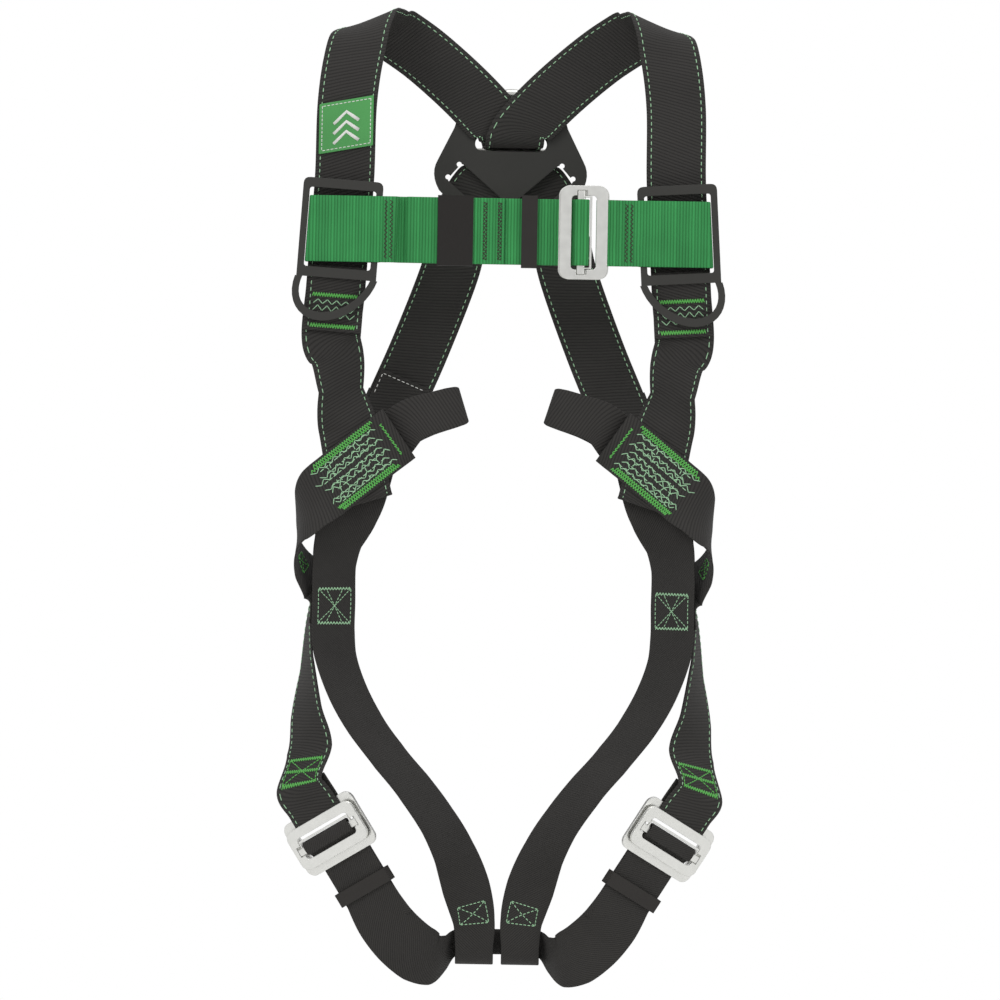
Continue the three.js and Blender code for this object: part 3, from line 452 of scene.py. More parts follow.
@dataclass(frozen=True)
class TumbledMetal:
    """Pressed metal, tumbled: rounded edges, fine peening, faint drawing lines and hairlines."""

    name: str
    colour: str
    roughness: float
    line_stretch: tuple[float, float, float] = (1.0, 1.0, 0.06)
    edge: float = 0.8
    dullness: float = 0.16
    peening: float = 1.6
    line: float = 0.35
    cloud: float = 7.0

    def build(self) -> bpy.types.Material:
        """Builds the material: peening and lines bump over rounded edges and cloud the gloss."""
        material, tree, shader = new_material(self.name)
        rounded = add_node(tree, "ShaderNodeBevel", {"samples": 4}, Radius=self.edge * MM)
        peening = noise(tree, self.peening, 3.0)
        lines = noise(tree, self.line, 3.0, self.line_stretch)
        slope = {"operation": "MULTIPLY_ADD"}
        height = add_node(tree, MATH, slope, i0=lines, i1=0.35, i2=peening)
        deep = 0.035 * MM
        bump = add_node(tree, "ShaderNodeBump", None, Height=height, Distance=deep, Normal=rounded)
        dull = noise(tree, self.cloud, 4.0)
        least = self.roughness - self.dullness / 2
        clouded = add_node(tree, MATH, slope, i0=dull, i1=self.dullness, i2=least)
        rough = add_node(tree, MATH, slope, i0=lines, i1=0.08, i2=clouded)
        tone = add_node(tree, MATH, slope, i0=dull, i1=0.16, i2=0.9)
        plain = linear(self.colour)[:3]
        base = add_node(tree, VECTOR_MATH, {"operation": "SCALE"}, i0=plain, Scale=tone)
        tree.links.new(base.outputs[0], shader.inputs["Base Color"])
        tree.links.new(rough.outputs[0], shader.inputs["Roughness"])
        tree.links.new(bump.outputs[0], shader.inputs["Normal"])
        shader.inputs["Metallic"].default_value = 1.0
        return material


@dataclass(frozen=True)
class KnittedElastic:
    """Wide knitted elastic: matt, fine wales 0.9 mm apart, nearly black."""

    name: str
    colour: str
    wale: float = 0.9
    course: float = 0.7
    fuzz: float = 0.5

    def build(self) -> bpy.types.Material:
        """Builds the material: wales are a sine of X, courses a sine of Z, under fine fuzz."""
        material, tree, shader = new_material(self.name)
        place = add_node(tree, "ShaderNodeTexCoord").outputs["Object"]
        parts = add_node(tree, "ShaderNodeSeparateXYZ", None, Vector=place)
        x, z = parts.outputs[0], parts.outputs[2]
        wale_rate, course_rate = 2 * math.pi / (self.wale * MM), 2 * math.pi / (self.course * MM)
        wale_turn = add_node(tree, MATH, {"operation": "MULTIPLY"}, i0=x, i1=wale_rate)
        wales = add_node(tree, MATH, {"operation": "SINE"}, i0=wale_turn)
        course_turn = add_node(tree, MATH, {"operation": "MULTIPLY"}, i0=z, i1=course_rate)
        courses = add_node(tree, MATH, {"operation": "SINE"}, i0=course_turn)
        fuzz = noise(tree, self.fuzz, 4.0)
        slope = {"operation": "MULTIPLY_ADD"}
        knit = add_node(tree, MATH, slope, i0=courses, i1=0.4, i2=wales)
        height = add_node(tree, MATH, slope, i0=fuzz, i1=0.8, i2=knit)
        deep = 0.08 * MM
        bump = add_node(tree, "ShaderNodeBump", None, Height=height, Distance=deep, Strength=0.7)
        faded = add_node(tree, MATH, slope, i0=fuzz, i1=0.5, i2=0.7)
        # painted shade: the colour follows the knit, darker in its valleys and lighter on its ridges
        tone = add_node(tree, MATH, slope, i0=knit, i1=0.08, i2=faded)
        plain = linear(self.colour)[:3]
        base = add_node(tree, VECTOR_MATH, {"operation": "SCALE"}, i0=plain, Scale=tone)
        tree.links.new(base.outputs[0], shader.inputs["Base Color"])
        tree.links.new(bump.outputs[0], shader.inputs["Normal"])
        shader.inputs["Roughness"].default_value = 0.9
        shader.inputs["Sheen Weight"].default_value = 0.1
        return material


@dataclass(frozen=True)
class PaleStudio:
    """Matt studio floor, off-white, very lightly mottled."""

    name: str
    colour: str
    mottle: float = 180.0

    def build(self) -> bpy.types.Material:
        """Builds the material: broad, barely visible noise tints the floor."""
        material, tree, shader = new_material(self.name)
        mottle = noise(tree, self.mottle, 2.0)
        tone = add_node(tree, MATH, {"operation": "MULTIPLY_ADD"}, i0=mottle, i1=0.03, i2=0.98)
        plain = linear(self.colour)[:3]
        base = add_node(tree, VECTOR_MATH, {"operation": "SCALE"}, i0=plain, Scale=tone)
        tree.links.new(base.outputs[0], shader.inputs["Base Color"])
        shader.inputs["Roughness"].default_value = 0.8
        return material


class Finish(Enum):
    """Every finish on the harness, built once each."""

    # each webbing's second colour is painted shade for its grooves and the gaps between yarns
    BLACK_WEBBING = WovenWebbing(
        "woven_black_polyester", "#3b3937", "#191817", 2.5, rib_slant=0.35
    )
    THIGH_WEBBING = WovenWebbing(
        "twill_black_polyester", "#3a3836", "#1b1a19", 2.1, rib_slant=0.9
    )
    GREEN_WEBBING = WovenWebbing(
        "woven_green_polyester", "#46b364", "#1d6b2f", 2.3, yarn_pitch=0.95, variation=0.6
    )
    PALE_THREAD = SewingThread("pale_green_thread", "#a9d8ad")
    GREEN_THREAD = SewingThread("bar_tack_thread", "#5fbf55")
    DARK_THREAD = SewingThread("dark_seam_thread", "#2c2318")
    WHITE_THREAD = SewingThread("white_thread", "#eeeeea")
    FRAME_PLASTIC = MouldedPlastic("frame_polyamide", "#33322f")
    PLATE_PLASTIC = MouldedPlastic("plate_polyamide", "#31302d", roughness=0.42, edge=1.0)
    KEEPER_PLASTIC = MouldedPlastic("keeper_polyethylene", "#231f1c", roughness=0.4, edge=0.6)
    PATCH_PVC = MouldedPlastic("patch_pvc", "#4f9e55", roughness=0.6, edge=0.3, grain_depth=0.05)
    RING_STEEL = TumbledMetal("zinc_plated_ring", "#e2e2de", 0.3)
    BUCKLE_STEEL = TumbledMetal("zinc_plated_buckle", "#f0f0ec", 0.34)
    BUCKLE_ALLOY = TumbledMetal("tumbled_alloy", "#fafaf7", 0.3, line_stretch=(0.08, 1.0, 1.0))
    ELASTIC = KnittedElastic("knitted_elastic", "#24211f")

    @property
    def material(self) -> bpy.types.Material:
        """The finish's material, built the first time it is asked for."""
        made = bpy.data.materials.get(self.value.name)
        return made or self.value.build()


# ---- meshes -------------------------------------------------------------------------------------


@dataclass
class Surface:
    """A closed surface as arrays: vertices, faces by corner count, and optional UVs per vertex."""

    vertices: np.ndarray
    faces: list[np.ndarray]
    uv: np.ndarray | None = None

    def outward(self) -> "Surface":
        """Turns every face round if the signed volume is negative.

        The volume has the sign of the sum of a . (b x c) over the triangles that fan out of each
        face.

        Returns:
            The same surface.
        """
        volume = 0.0
        for group in self.faces:
            for k in range(1, group.shape[1] - 1):
                a, b, c = (self.vertices[group[:, i]] for i in (0, k, k + 1))
                volume += float(np.einsum("ij,ij->", a, np.cross(b, c)))
        if volume < 0:
            self.faces = [group[:, ::-1] for group in self.faces]
        return self

    @staticmethod
    def merge(parts: Sequence["Surface"]) -> "Surface":
        """Joins surfaces into one, shifting each one's face indices by the vertices before it.

        Args:
            parts: The surfaces.

        Returns:
            Their union as one array of vertices, without UVs.
        """
        starts = np.cumsum([0] + [len(p.vertices) for p in parts])
        faces = [group + start for p, start in zip(parts, starts) for group in p.faces]
        return Surface(np.concatenate([p.vertices for p in parts]), faces)

    def mesh(self, name: str) -> bpy.types.Mesh:
        """Makes a bare Blender mesh of the surface."""
        made = bpy.data.meshes.new(name)
        faces = [face for group in self.faces for face in group.tolist()]
        made.from_pydata(self.vertices.tolist(), [], faces)
        return made

    def piece(
        self, name: str, finish: Finish, body: str, smooth: bool = True
    ) -> bpy.types.Object:
        """Makes a Blender object of the surface and ties it to a body.

        Args:
            name: The piece's name.
            finish: Its finish.
            body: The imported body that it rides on.
            smooth: Whether the faces shade smooth.

        Returns:
            The new object, at the origin.
        """
        mesh = self.mesh(name)
        mesh.polygons.foreach_set("use_smooth", np.full(len(mesh.polygons), smooth))
        if self.uv is not None:
            layer = mesh.uv_layers.new(name="run")
            corners = np.empty(len(mesh.loops), dtype=np.int32)
            mesh.loops.foreach_get("vertex_index", corners)
            layer.data.foreach_set("uv", self.uv[corners].ravel())
        mesh.materials.append(finish.material)
        mesh.update()
        obj = bpy.data.objects.new(name, mesh)
        bpy.context.scene.collection.objects.link(obj)
        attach(obj, body)
        LOG.info("%s: %d faces on %s", name, len(mesh.polygons), body)
        return obj


def grid_faces(rows: int, columns: int, wrap: bool) -> np.ndarray:
    """Quads of a grid whose vertex (i, j) has index i * columns + j.

    Args:
        rows: Number of rows of vertices.
        columns: Number of vertices in a row.
        wrap: Whether each row closes on itself.

    Returns:
        Four vertex indices for each quad.
    """
    last = columns if wrap else columns - 1
    i, j = np.meshgrid(np.arange(rows - 1), np.arange(last), indexing="ij")
    a, b = i * columns + j, i * columns + (j + 1) % columns
    return np.stack([a, b, b + columns, a + columns], axis=-1).reshape(-1, 4)


def swept(rings: np.ndarray, uv: np.ndarray | None = None) -> Surface:
    """Skins closed rings of points into a capped tube.

    Args:
        rings: Points by ring, place in the ring and axis, in metres.
        uv: Texture coordinates by ring and place in the ring.

    Returns:
        The closed surface, facing out.
    """
    rows, columns = rings.shape[:2]
    caps = np.stack([np.arange(columns)[::-1], (rows - 1) * columns + np.arange(columns)])
    flat_uv = None if uv is None else uv.reshape(-1, 2)
    return Surface(rings.reshape(-1, 3), [grid_faces(rows, columns, True), caps], flat_uv).outward()


def unit(vectors: np.ndarray) -> np.ndarray:
    """Scales each vector to length one: v / |v|."""
    return vectors / np.linalg.norm(vectors, axis=-1, keepdims=True)


def round_tube(path: np.ndarray, radius: float, sides: int = 20) -> Surface:
    """Sweeps a circle along a planar path in X and Z.

    Ring i is path_i + radius * (cos a * outward_i + sin a * Y), where outward_i is the path's
    normal in its plane.

    Args:
        path: Points of the path in metres.
        radius: Tube radius in metres.
        sides: Points round the circle.

    Returns:
        The closed tube.
    """
    tangent = unit(np.gradient(path, axis=0))
    upright = np.array([0.0, 1.0, 0.0])
    outward = np.cross(tangent, upright)
    angle = np.linspace(0, 2 * math.pi, sides, endpoint=False)[None, :, None]
    spoke = np.cos(angle) * outward[:, None] + np.sin(angle) * upright
    return swept(path[:, None] + radius * spoke)


# ---- webbing runs -------------------------------------------------------------------------------


Station = list[float]
Amount = float | np.ndarray


def station(
    at: Sequence[float],
    across: Sequence[float],
    width: float = SIZES.web_width,
    shear: float = 0.0,
) -> Station:
    """A control point of a webbing run, in mm.

    Args:
        at: The middle of the webbing.
        across: The way its width lies.
        width: Its width.
        shear: 0 keeps the width square to the run, 1 keeps it as given.

    Returns:
        The eight numbers as one row.
    """
    return [*at, *unit(np.asarray(across, float)), width, shear]


def on_side(side: Side, stations: list[Station]) -> list[Station]:
    """Leaves stations of the left side as they are and mirrors them in X for the right side.

    Args:
        side: The side that they are for.
        stations: Stations of the left side.

    Returns:
        The side's stations.
    """
    flip = np.array([side.value, 1, 1, side.value, 1, 1, 1, 1], float)
    return (np.array(stations) * flip).tolist()


def arc(
    a: float, b: float, radius: float, start: float, end: float, steps: int
) -> list[tuple[float, float]]:
    """Points (a + r cos t, b + r sin t) of an arc in a plane.

    Args:
        a: The middle's first coordinate.
        b: Its second coordinate.
        radius: The radius r.
        start: The first t in degrees.
        end: The last t in degrees.
        steps: Number of equal steps of t.

    Returns:
        The points, one more than the steps.
    """
    angle = np.radians(np.linspace(start, end, steps + 1))
    return list(zip(a + radius * np.cos(angle), b + radius * np.sin(angle)))


@dataclass
class Run:
    """A webbing run as evenly spaced frames along its middle line, in millimetres."""

    middle: np.ndarray
    across: np.ndarray
    normal: np.ndarray
    width: np.ndarray
    along: np.ndarray

    @classmethod
    def through(cls, stations: list[Station], spacing: float = 1.4) -> "Run":
        """Draws a smooth run through stations.

        The middle line is a centripetal Catmull-Rom curve: each span's knot length is the fourth
        root of the squared distance, and its end slopes come from the three knots round each end.
        Width and width direction go evenly from one station to the next, and the direction is
        kept square to the run as far as the shear allows.

        Args:
            stations: The control points.
            spacing: Distance between frames.

        Returns:
            The run.
        """
        data = np.array(stations, float)
        points = data[:, :3]
        padded = np.vstack([2 * points[0] - points[1], points, 2 * points[-1] - points[-2]])
        knot = np.sqrt(np.linalg.norm(np.diff(padded, axis=0), axis=1))[:, None]
        p0, p1, p2, p3 = padded[:-3], padded[1:-2], padded[2:-1], padded[3:]
        k0, k1, k2 = knot[:-2], knot[1:-1], knot[2:]
        out = k1 * ((p1 - p0) / k0 - (p2 - p0) / (k0 + k1) + (p2 - p1) / k1)
        into = k1 * ((p2 - p1) / k1 - (p3 - p1) / (k1 + k2) + (p3 - p2) / k2)
        cubic = (p1, out, -3 * p1 + 3 * p2 - 2 * out - into, 2 * p1 - 2 * p2 + out + into)

        def at(t: np.ndarray) -> np.ndarray:
            """Points of the curve at t, counted in spans."""
            span = np.minimum(t.astype(int), len(p1) - 1)
            x = (t - span)[:, None]
            level, slope, bend, twist = (term[span] for term in cubic)
            return level + x * (slope + x * (bend + x * twist))

        fine = np.linspace(0, len(p1), 40 * len(p1) + 1)
        steps = np.linalg.norm(np.diff(at(fine), axis=0), axis=1)
        distance = np.concatenate([[0], np.cumsum(steps)])
        count = max(8, int(round(distance[-1] / spacing))) + 1
        along = np.linspace(0, distance[-1], count)
        t = np.interp(along, distance, fine)
        middle = at(t)
        tangent = unit(np.gradient(middle, along, axis=0))
        index = np.arange(len(data))
        across = np.stack([np.interp(t, index, data[:, 3 + k]) for k in range(3)], axis=1)
        square = 1 - np.interp(t, index, data[:, 7])[:, None]
        across = unit(across - square * np.sum(across * tangent, axis=1, keepdims=True) * tangent)
        width = np.interp(t, index, data[:, 6])
        return cls(middle, across, unit(np.cross(tangent, across)), width, along)

    @property
    def length(self) -> float:
        """The run's whole length."""
        return float(self.along[-1])

    def mixed(self, table: np.ndarray, s: Amount) -> np.ndarray:
        """Rows of one of the run's tables, read evenly between its frames."""
        return np.stack([np.interp(s, self.along, table[:, k]) for k in range(3)], axis=-1)

    def place(self, s: Amount, a: Amount, lift: Amount) -> np.ndarray:
        """Points on or beside the run: middle + a * across + lift * normal.

        Args:
            s: Distance along.
            a: Offset across.
            lift: Height above the middle line.

        Returns:
            The points in metres.
        """
        s, a, lift = np.broadcast_arrays(np.asarray(s, float), a, lift)
        beside = a[..., None] * self.mixed(self.across, s)
        return (self.mixed(self.middle, s) + beside + lift[..., None] * self.mixed(self.normal, s)) * MM

    def half_width(self, s: Amount) -> np.ndarray:
        """Half the width at a distance along."""
        return np.interp(s, self.along, self.width) / 2

    def facing(self, s: Amount) -> np.ndarray:
        """The normal at a distance along."""
        return unit(self.mixed(self.normal, s))

    def ribbon(self, thickness: float, columns: int = 11) -> Surface:
        """Skins the run with flat webbing whose edges are half round.

        The section is two rows of points at plus and minus half the thickness, joined by half
        circles.

        Args:
            thickness: Thickness in millimetres.
            columns: Points across each face.

        Returns:
            The closed ribbon, with UVs in millimetres across and along.
        """
        radius = thickness / 2
        flat = np.linspace(-1, 1, columns)
        turn = np.radians([60, 30, 0, -30, -60])
        share = np.concatenate([flat, np.ones(5), flat[::-1], -np.ones(5)])
        inside, face = np.zeros(columns), np.ones(columns)
        offset = np.concatenate([inside, np.cos(turn), inside, -np.cos(turn)]) * radius
        height = np.concatenate([face, np.sin(turn), -face, -np.sin(turn)]) * radius
        half = self.width[:, None] / 2 - radius
        a = half * share + offset
        rings = self.middle[:, None] + a[..., None] * self.across[:, None]
        rings = (rings + height[None, :, None] * self.normal[:, None]) * MM
        uv = np.stack([a, np.broadcast_to(self.along[:, None], a.shape)], axis=-1)
        return swept(rings, uv)


# ---- stitching -----------------------------------------------------------------------------------


@dataclass
class Stitching:
    """Thread on one run: straight strands, each a short tapered six-sided tube."""

    run: Run
    face: float
    radius: float = 0.38
    edge_pitch: float = 5.0
    edge_stitch: float = 2.9
    edge_inset: float = 3.5
    starts: list[np.ndarray] = field(default_factory=list)
    ends: list[np.ndarray] = field(default_factory=list)

    def strands(self, first: np.ndarray, last: np.ndarray) -> "Stitching":
        """Adds strands from points to points, both as (along, across, side) rows in mm."""
        self.starts.append(np.asarray(first, float).reshape(-1, 3))
        self.ends.append(np.asarray(last, float).reshape(-1, 3))
        return self

    def line(
        self,
        s0: float,
        a0: float,
        s1: float,
        a1: float,
        sides: Sequence[float] = (1, -1),
        stitch: float = 3.0,
        gap: float = 2.0,
    ) -> "Stitching":
        """Adds a straight row of running stitches.

        Args:
            s0: Distance along at its start.
            a0: Offset across at its start.
            s1: Distance along at its end.
            a1: Offset across at its end.
            sides: The faces that show it, 1 for the normal's and -1 for the other.
            stitch: Length of a stitch.
            gap: Length between stitches.

        Returns:
            The stitching.
        """
        span = math.hypot(s1 - s0, a1 - a0)
        count = max(1, int(span / (stitch + gap)))
        t = (np.arange(count) + 0.5) / count
        half = stitch / 2 / span
        for side in sides:
            face = np.full(count, side)
            first, last = (
                np.stack([s0 + (s1 - s0) * u, a0 + (a1 - a0) * u, face], -1)
                for u in (t - half, t + half)
            )
            self.strands(first, last)
        return self

    def edges(self, s0: float, s1: float, sides: Sequence[float] = (1, -1)) -> "Stitching":
        """Adds a row of running stitches inside each edge, following the run's width.

        Args:
            s0: Distance along at the start.
            s1: Distance along at the end.
            sides: The faces that show it.

        Returns:
            The stitching.
        """
        count = max(1, int((s1 - s0) / self.edge_pitch))
        t = s0 + (s1 - s0) * (np.arange(count) + 0.5) / count
        half = self.edge_stitch / 2
        for side in sides:
            face = np.full(count, side)
            for edge in (-1, 1):
                first, last = (
                    np.stack([u, edge * (self.run.half_width(u) - self.edge_inset), face], -1)
                    for u in (t - half, t + half)
                )
                self.strands(first, last)
        return self

    def zigzag(
        self,
        s0: float,
        a0: float,
        s1: float,
        a1: float,
        width: float,
        pitch: float = 1.1,
        sides: Sequence[float] = (1,),
    ) -> "Stitching":
        """Adds a zigzag along a line: point k is the line's point k shifted width / 2 either way.

        Args:
            s0: Distance along at its start.
            a0: Offset across at its start.
            s1: Distance along at its end.
            a1: Offset across at its end.
            width: Its whole width.
            pitch: Distance along the line from one point to the next.
            sides: The faces that show it.

        Returns:
            The stitching.
        """
        span = math.hypot(s1 - s0, a1 - a0)
        count = max(2, int(span / pitch))
        t = np.arange(count + 1) / count
        sign = np.where(np.arange(count + 1) % 2, 0.5, -0.5) * width
        s = s0 + (s1 - s0) * t - sign * (a1 - a0) / span
        a = a0 + (a1 - a0) * t + sign * (s1 - s0) / span
        for side in sides:
            rows = np.stack([s, a, np.full(count + 1, side)], -1)
            self.strands(rows[:-1], rows[1:])
        return self

    def crossed_box(
        self,
        s0: float,
        s1: float,
        a0: float,
        a1: float,
        sides: Sequence[float],
        stitch: float,
        gap: float,
    ) -> "Stitching":
        """Adds a stitched box with its diagonals.

        Args:
            s0: Distance along at one end.
            s1: Distance along at the other.
            a0: Offset across at one side.
            a1: Offset across at the other.
            sides: The faces that show it.
            stitch: Length of a stitch.
            gap: Length between stitches.

        Returns:
            The stitching.
        """
        corners = [(s0, a0), (s1, a0), (s1, a1), (s0, a1)]
        for (p, q), (r, t) in zip(corners, corners[1:] + corners[:1]):
            self.line(p, q, r, t, sides, stitch, gap)
        self.line(s0, a0, s1, a1, sides, stitch, gap)
        return self.line(s0, a1, s1, a0, sides, stitch, gap)

    def piece(self, name: str, finish: Finish, body: str) -> bpy.types.Object:
        """Builds every strand into one piece.

        A strand's rings lie at -0.5, -0.34, 0.34 and 0.5 of its length with radii 0.5, 1, 1 and 0.5
        of the thread's, round the line from its start to its end.

        Args:
            name: The piece's name.
            finish: Its thread.
            body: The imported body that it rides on.

        Returns:
            The piece.
        """
        first, last = np.concatenate(self.starts), np.concatenate(self.ends)
        side = first[:, 2]
        lift = side * (self.face + 0.3 * self.radius)
        p = self.run.place(first[:, 0], first[:, 1], lift)
        q = self.run.place(last[:, 0], last[:, 1], lift)
        middle, reach = (p + q) / 2, q - p
        up = self.run.facing((first[:, 0] + last[:, 0]) / 2) * side[:, None]
        along = unit(reach)
        beside = unit(np.cross(along, up))
        up = np.cross(beside, along)
        x = np.repeat([-0.5, -0.34, 0.34, 0.5], 6)
        r = np.repeat([0.5, 1.0, 1.0, 0.5], 6) * self.radius * MM
        turn = np.tile(np.arange(6) * math.pi / 3, 4)
        points = middle[:, None] + x[None, :, None] * reach[:, None]
        points = points + (r * np.cos(turn))[None, :, None] * beside[:, None]
        points = points + (r * np.sin(turn))[None, :, None] * up[:, None]
        quads = grid_faces(4, 6, True)
        caps = np.array([[5, 4, 3, 2, 1, 0], [18, 19, 20, 21, 22, 23]])
        base = 24 * np.arange(len(points))[:, None, None]
        faces = [(quads[None] + base).reshape(-1, 4), (caps[None] + base).reshape(-1, 6)]
        return Surface(points.reshape(-1, 3), faces).outward().piece(name, finish, body)


# ---- webbing sub-assemblies -------------------------------------------------------------------


def dress(
    node: str, run: Run, finish: Finish
) -> bpy.types.Object:
    """Builds one run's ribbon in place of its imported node.

    Args:
        node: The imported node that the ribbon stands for.
        run: Its run.
        finish: Its finish.

    Returns:
        The ribbon.
    """
    made = run.ribbon(SIZES.web_thick).piece(f"{node}_webbing", finish, "webbing")
    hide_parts(node)
    return made


@dataclass
class ShoulderStrap:
    """One shoulder strap, from its rolled end at the hip to the opposite hip at the back."""

    side: Side
    roll_radius: float = 4.5

    def falling(self, angle: float) -> list[float]:
        """A width direction whose outer end falls by angle degrees."""
        return [math.cos(math.radians(angle)), 0, -math.sin(math.radians(angle))]

    def sheared(self, x: float, y: float, z: float) -> Station:
        """A station in the slot or round the bar: the strap slants while its width stays level."""
        return station([x, y, z], [1, 0, 0], SIZES.web_width, 1)

    def stations(self) -> list[Station]:
        """The route's stations for the left side, mirrored for the right."""
        z = SIZES
        front = -z.front_depth
        roll_x, roll_z = z.hip_half - 6, z.hip_height - 22
        roll = [0.956, 0, -0.29]
        reach = z.bearing + 2.2 + (1 - self.side.layer) * z.cross_step
        bend_y = z.plate_y - 0.4
        bend_z = z.slot_z + z.cross_step / 2 + z.bearing + 2.2
        before = bend_y - reach
        wrap = z.inner_wrap + self.side.layer * z.cross_step
        behind = z.behind_plate_y(self.side.layer)
        level, fold, lower = [1, 0, 0], [0.92, 0, -0.39], [0.92, 0, -0.38]
        half, top, chest = z.shoulder_half, z.shoulder_top, z.chest_height
        hip, bar = z.hip_height, z.ring_bar_z
        into_slot = arc(bend_y, bend_z, reach, 180, 270, 3)
        over_bar = arc(0, bar, wrap, 90, -30, 4)
        route = [
            station([roll_x + 9, front + 2 * self.roll_radius, roll_z + 29], roll),
            station([roll_x + 1, front + 2 * self.roll_radius, roll_z + 3], roll),
            station([roll_x - 0.4, front + 1.7 * self.roll_radius, roll_z - 2.6], roll),
            station([roll_x - 1.3, front + self.roll_radius, roll_z - self.roll_radius], roll),
            station([roll_x - 0.4, front + 0.3 * self.roll_radius, roll_z - 2.6], roll),
            station([roll_x + 1, front, roll_z + 3], roll),
            station([z.hip_half + 0.5, front, hip + 3], [0.95, 0, -0.3]),
            station([half - 5.5, front, hip + 29], [0.97, 0, -0.22]),
            station([half - 2, front, hip + 44], [0.88, -0.42, -0.15]),
            station([half + 0.5, front, hip + 58], [0.74, -0.67, 0]),
            station([half + 3.5, front, chest - 98], [0.88, -0.45, 0]),
            *[station([z.frame_x(chest + d), front, chest + d], level) for d in (-84, -45, 0, 40)],
            station([half - 0.5, front + 1, top - 65], [0.995, 0, -0.05]),
            station([half - 4, front + 3, top - 35], [0.99, 0, -0.12]),
            station([half - 9, front + 11, top - 13], [0.96, 0, -0.27]),
            station([half - 16, front + 30, top - 1], fold),
            station([half - 21, front + 50, top - 0.5], fold),
            station([half - 28, front + 67, top - 4], [0.8, 0.3, -0.5]),
            station([half - 39, before - 5, top - 10.5], self.falling(50)),
            station([half - 56, before - 1, top - 22], self.falling(49)),
            station([45, before, 14], self.falling(47)),
            station([26, before, -4], self.falling(44)),
            station([11, before, bend_z + 9], self.falling(26), z.web_width, 0.7),
            station([5.5, before, bend_z + 3], self.falling(10), z.web_width, 1),
            *[self.sheared(3.4 - 0.4 * i, y, up) for i, (y, up) in enumerate(into_slot)],
            *[self.sheared(1.2 - 0.9 * i, y, up) for i, (y, up) in enumerate(over_bar)],
            self.sheared(-4, behind + 0.8, bar - 8),
            self.sheared(-6.5, behind, bar - 10.5),
            station([-14.5, behind, bar - 18], self.falling(18), z.web_width, 0.8),
            station([-24, behind, bar - 28], self.falling(36), z.web_width, 0.4),
            station([-31, behind, bar - 39], self.falling(31)),
            station([-36, behind, bar - 53], self.falling(24)),
            station([-40, behind, bar - 69], self.falling(18)),
            station([-45, behind, chest - 27], self.falling(20)),
            station([-67.5, behind - 4, chest - 88], lower),
            station([-84, behind - 10, hip + 53], lower),
            station([-94, behind - 16, hip + 29], lower),
        ]
        return on_side(self.side, route)

    def build(self) -> Run:
        """Builds the strap and its edge stitching.

        Returns:
            The strap's run, for what is sewn to it.
        """
        run = Run.through(self.stations())
        word = self.side.word
        dress(f"{word}_shoulder_strap", run, Finish.BLACK_WEBBING)
        edges = Stitching(run, SIZES.web_thick / 2).edges(4, run.length - 3)
        edges.piece(f"{word}_shoulder_edge_stitching", Finish.PALE_THREAD, "webbing")
        return run


@dataclass
class FrameTieLoop:
    """The loop that is sewn to a shoulder strap and passes over a D-frame's rear bar."""

    side: Side

    def stations(self) -> list[Station]:
        """Stations on the D-frame's tilted middle line."""
        z = SIZES
        tilt = math.radians(z.frame_tilt)
        up = np.array([-math.sin(tilt), 0, math.cos(tilt)])
        across = [up[2], 0, -up[0]]
        over = (z.frame_crossbar - 1.6) / 2 + z.bearing + 0.3
        bar_z = z.crossbar_top - z.frame_crossbar / 2
        places = [
            (z.tie_back_y - z.step, -z.tie_length),
            (z.tie_back_y - z.step, -18),
            (z.tie_front_y, -5),
            (z.tie_front_y, 2),
            (z.tie_front_y + 0.9, over - 0.4),
            (z.tie_bar_y, over + 0.6),
            (z.tie_back_y - 0.9, over - 0.4),
            (z.tie_back_y, 2),
            (z.tie_back_y, -14),
            (z.tie_back_y, -z.tie_length),
        ]
        foot = np.array([z.frame_x(bar_z), 0, bar_z])
        rows = [station(list(foot + up * rise + [0, y, 0]), across, z.web_width - 1) for y, rise in places]
        return on_side(self.side, rows)

    def build(self) -> None:
        """Builds the loop, its edge stitching, two bar tacks and the scattered rows between them."""
        run = Run.through(self.stations(), 1.0)
        word = self.side.word
        dress(f"{word}_frame_tie_loop", run, Finish.BLACK_WEBBING)
        face = SIZES.web_thick / 2
        front = facing_front(run, 2.0)
        edges = Stitching(run, face).edges(2, run.length * 0.44, sides=(front,))
        for s, width in ((11.5, 3.6), (16.5, 4.2), (21.5, 3.4)):
            edges.zigzag(s, -16, s + 0.8, 16, width, 3.3, (front,))
        edges.piece(f"{word}_tie_loop_stitching", Finish.PALE_THREAD, "webbing")
        tacks = Stitching(run, face, 0.42)
        for s in (4.0, 27.5):
            tacks.zigzag(s, -17, s, 17, 3.4, 0.95, (front,))
            tacks.line(s, -17, s, 17, (front,), 1.6, 0.3)
        tacks.piece(f"{word}_tie_loop_bar_tacks", Finish.GREEN_THREAD, "webbing")


def facing_front(run: Run, s: float) -> float:
    """The side of the run, 1 or -1, whose normal points to -Y at a distance along."""
    return -1.0 if run.facing(np.array([s]))[0, 1] > 0 else 1.0


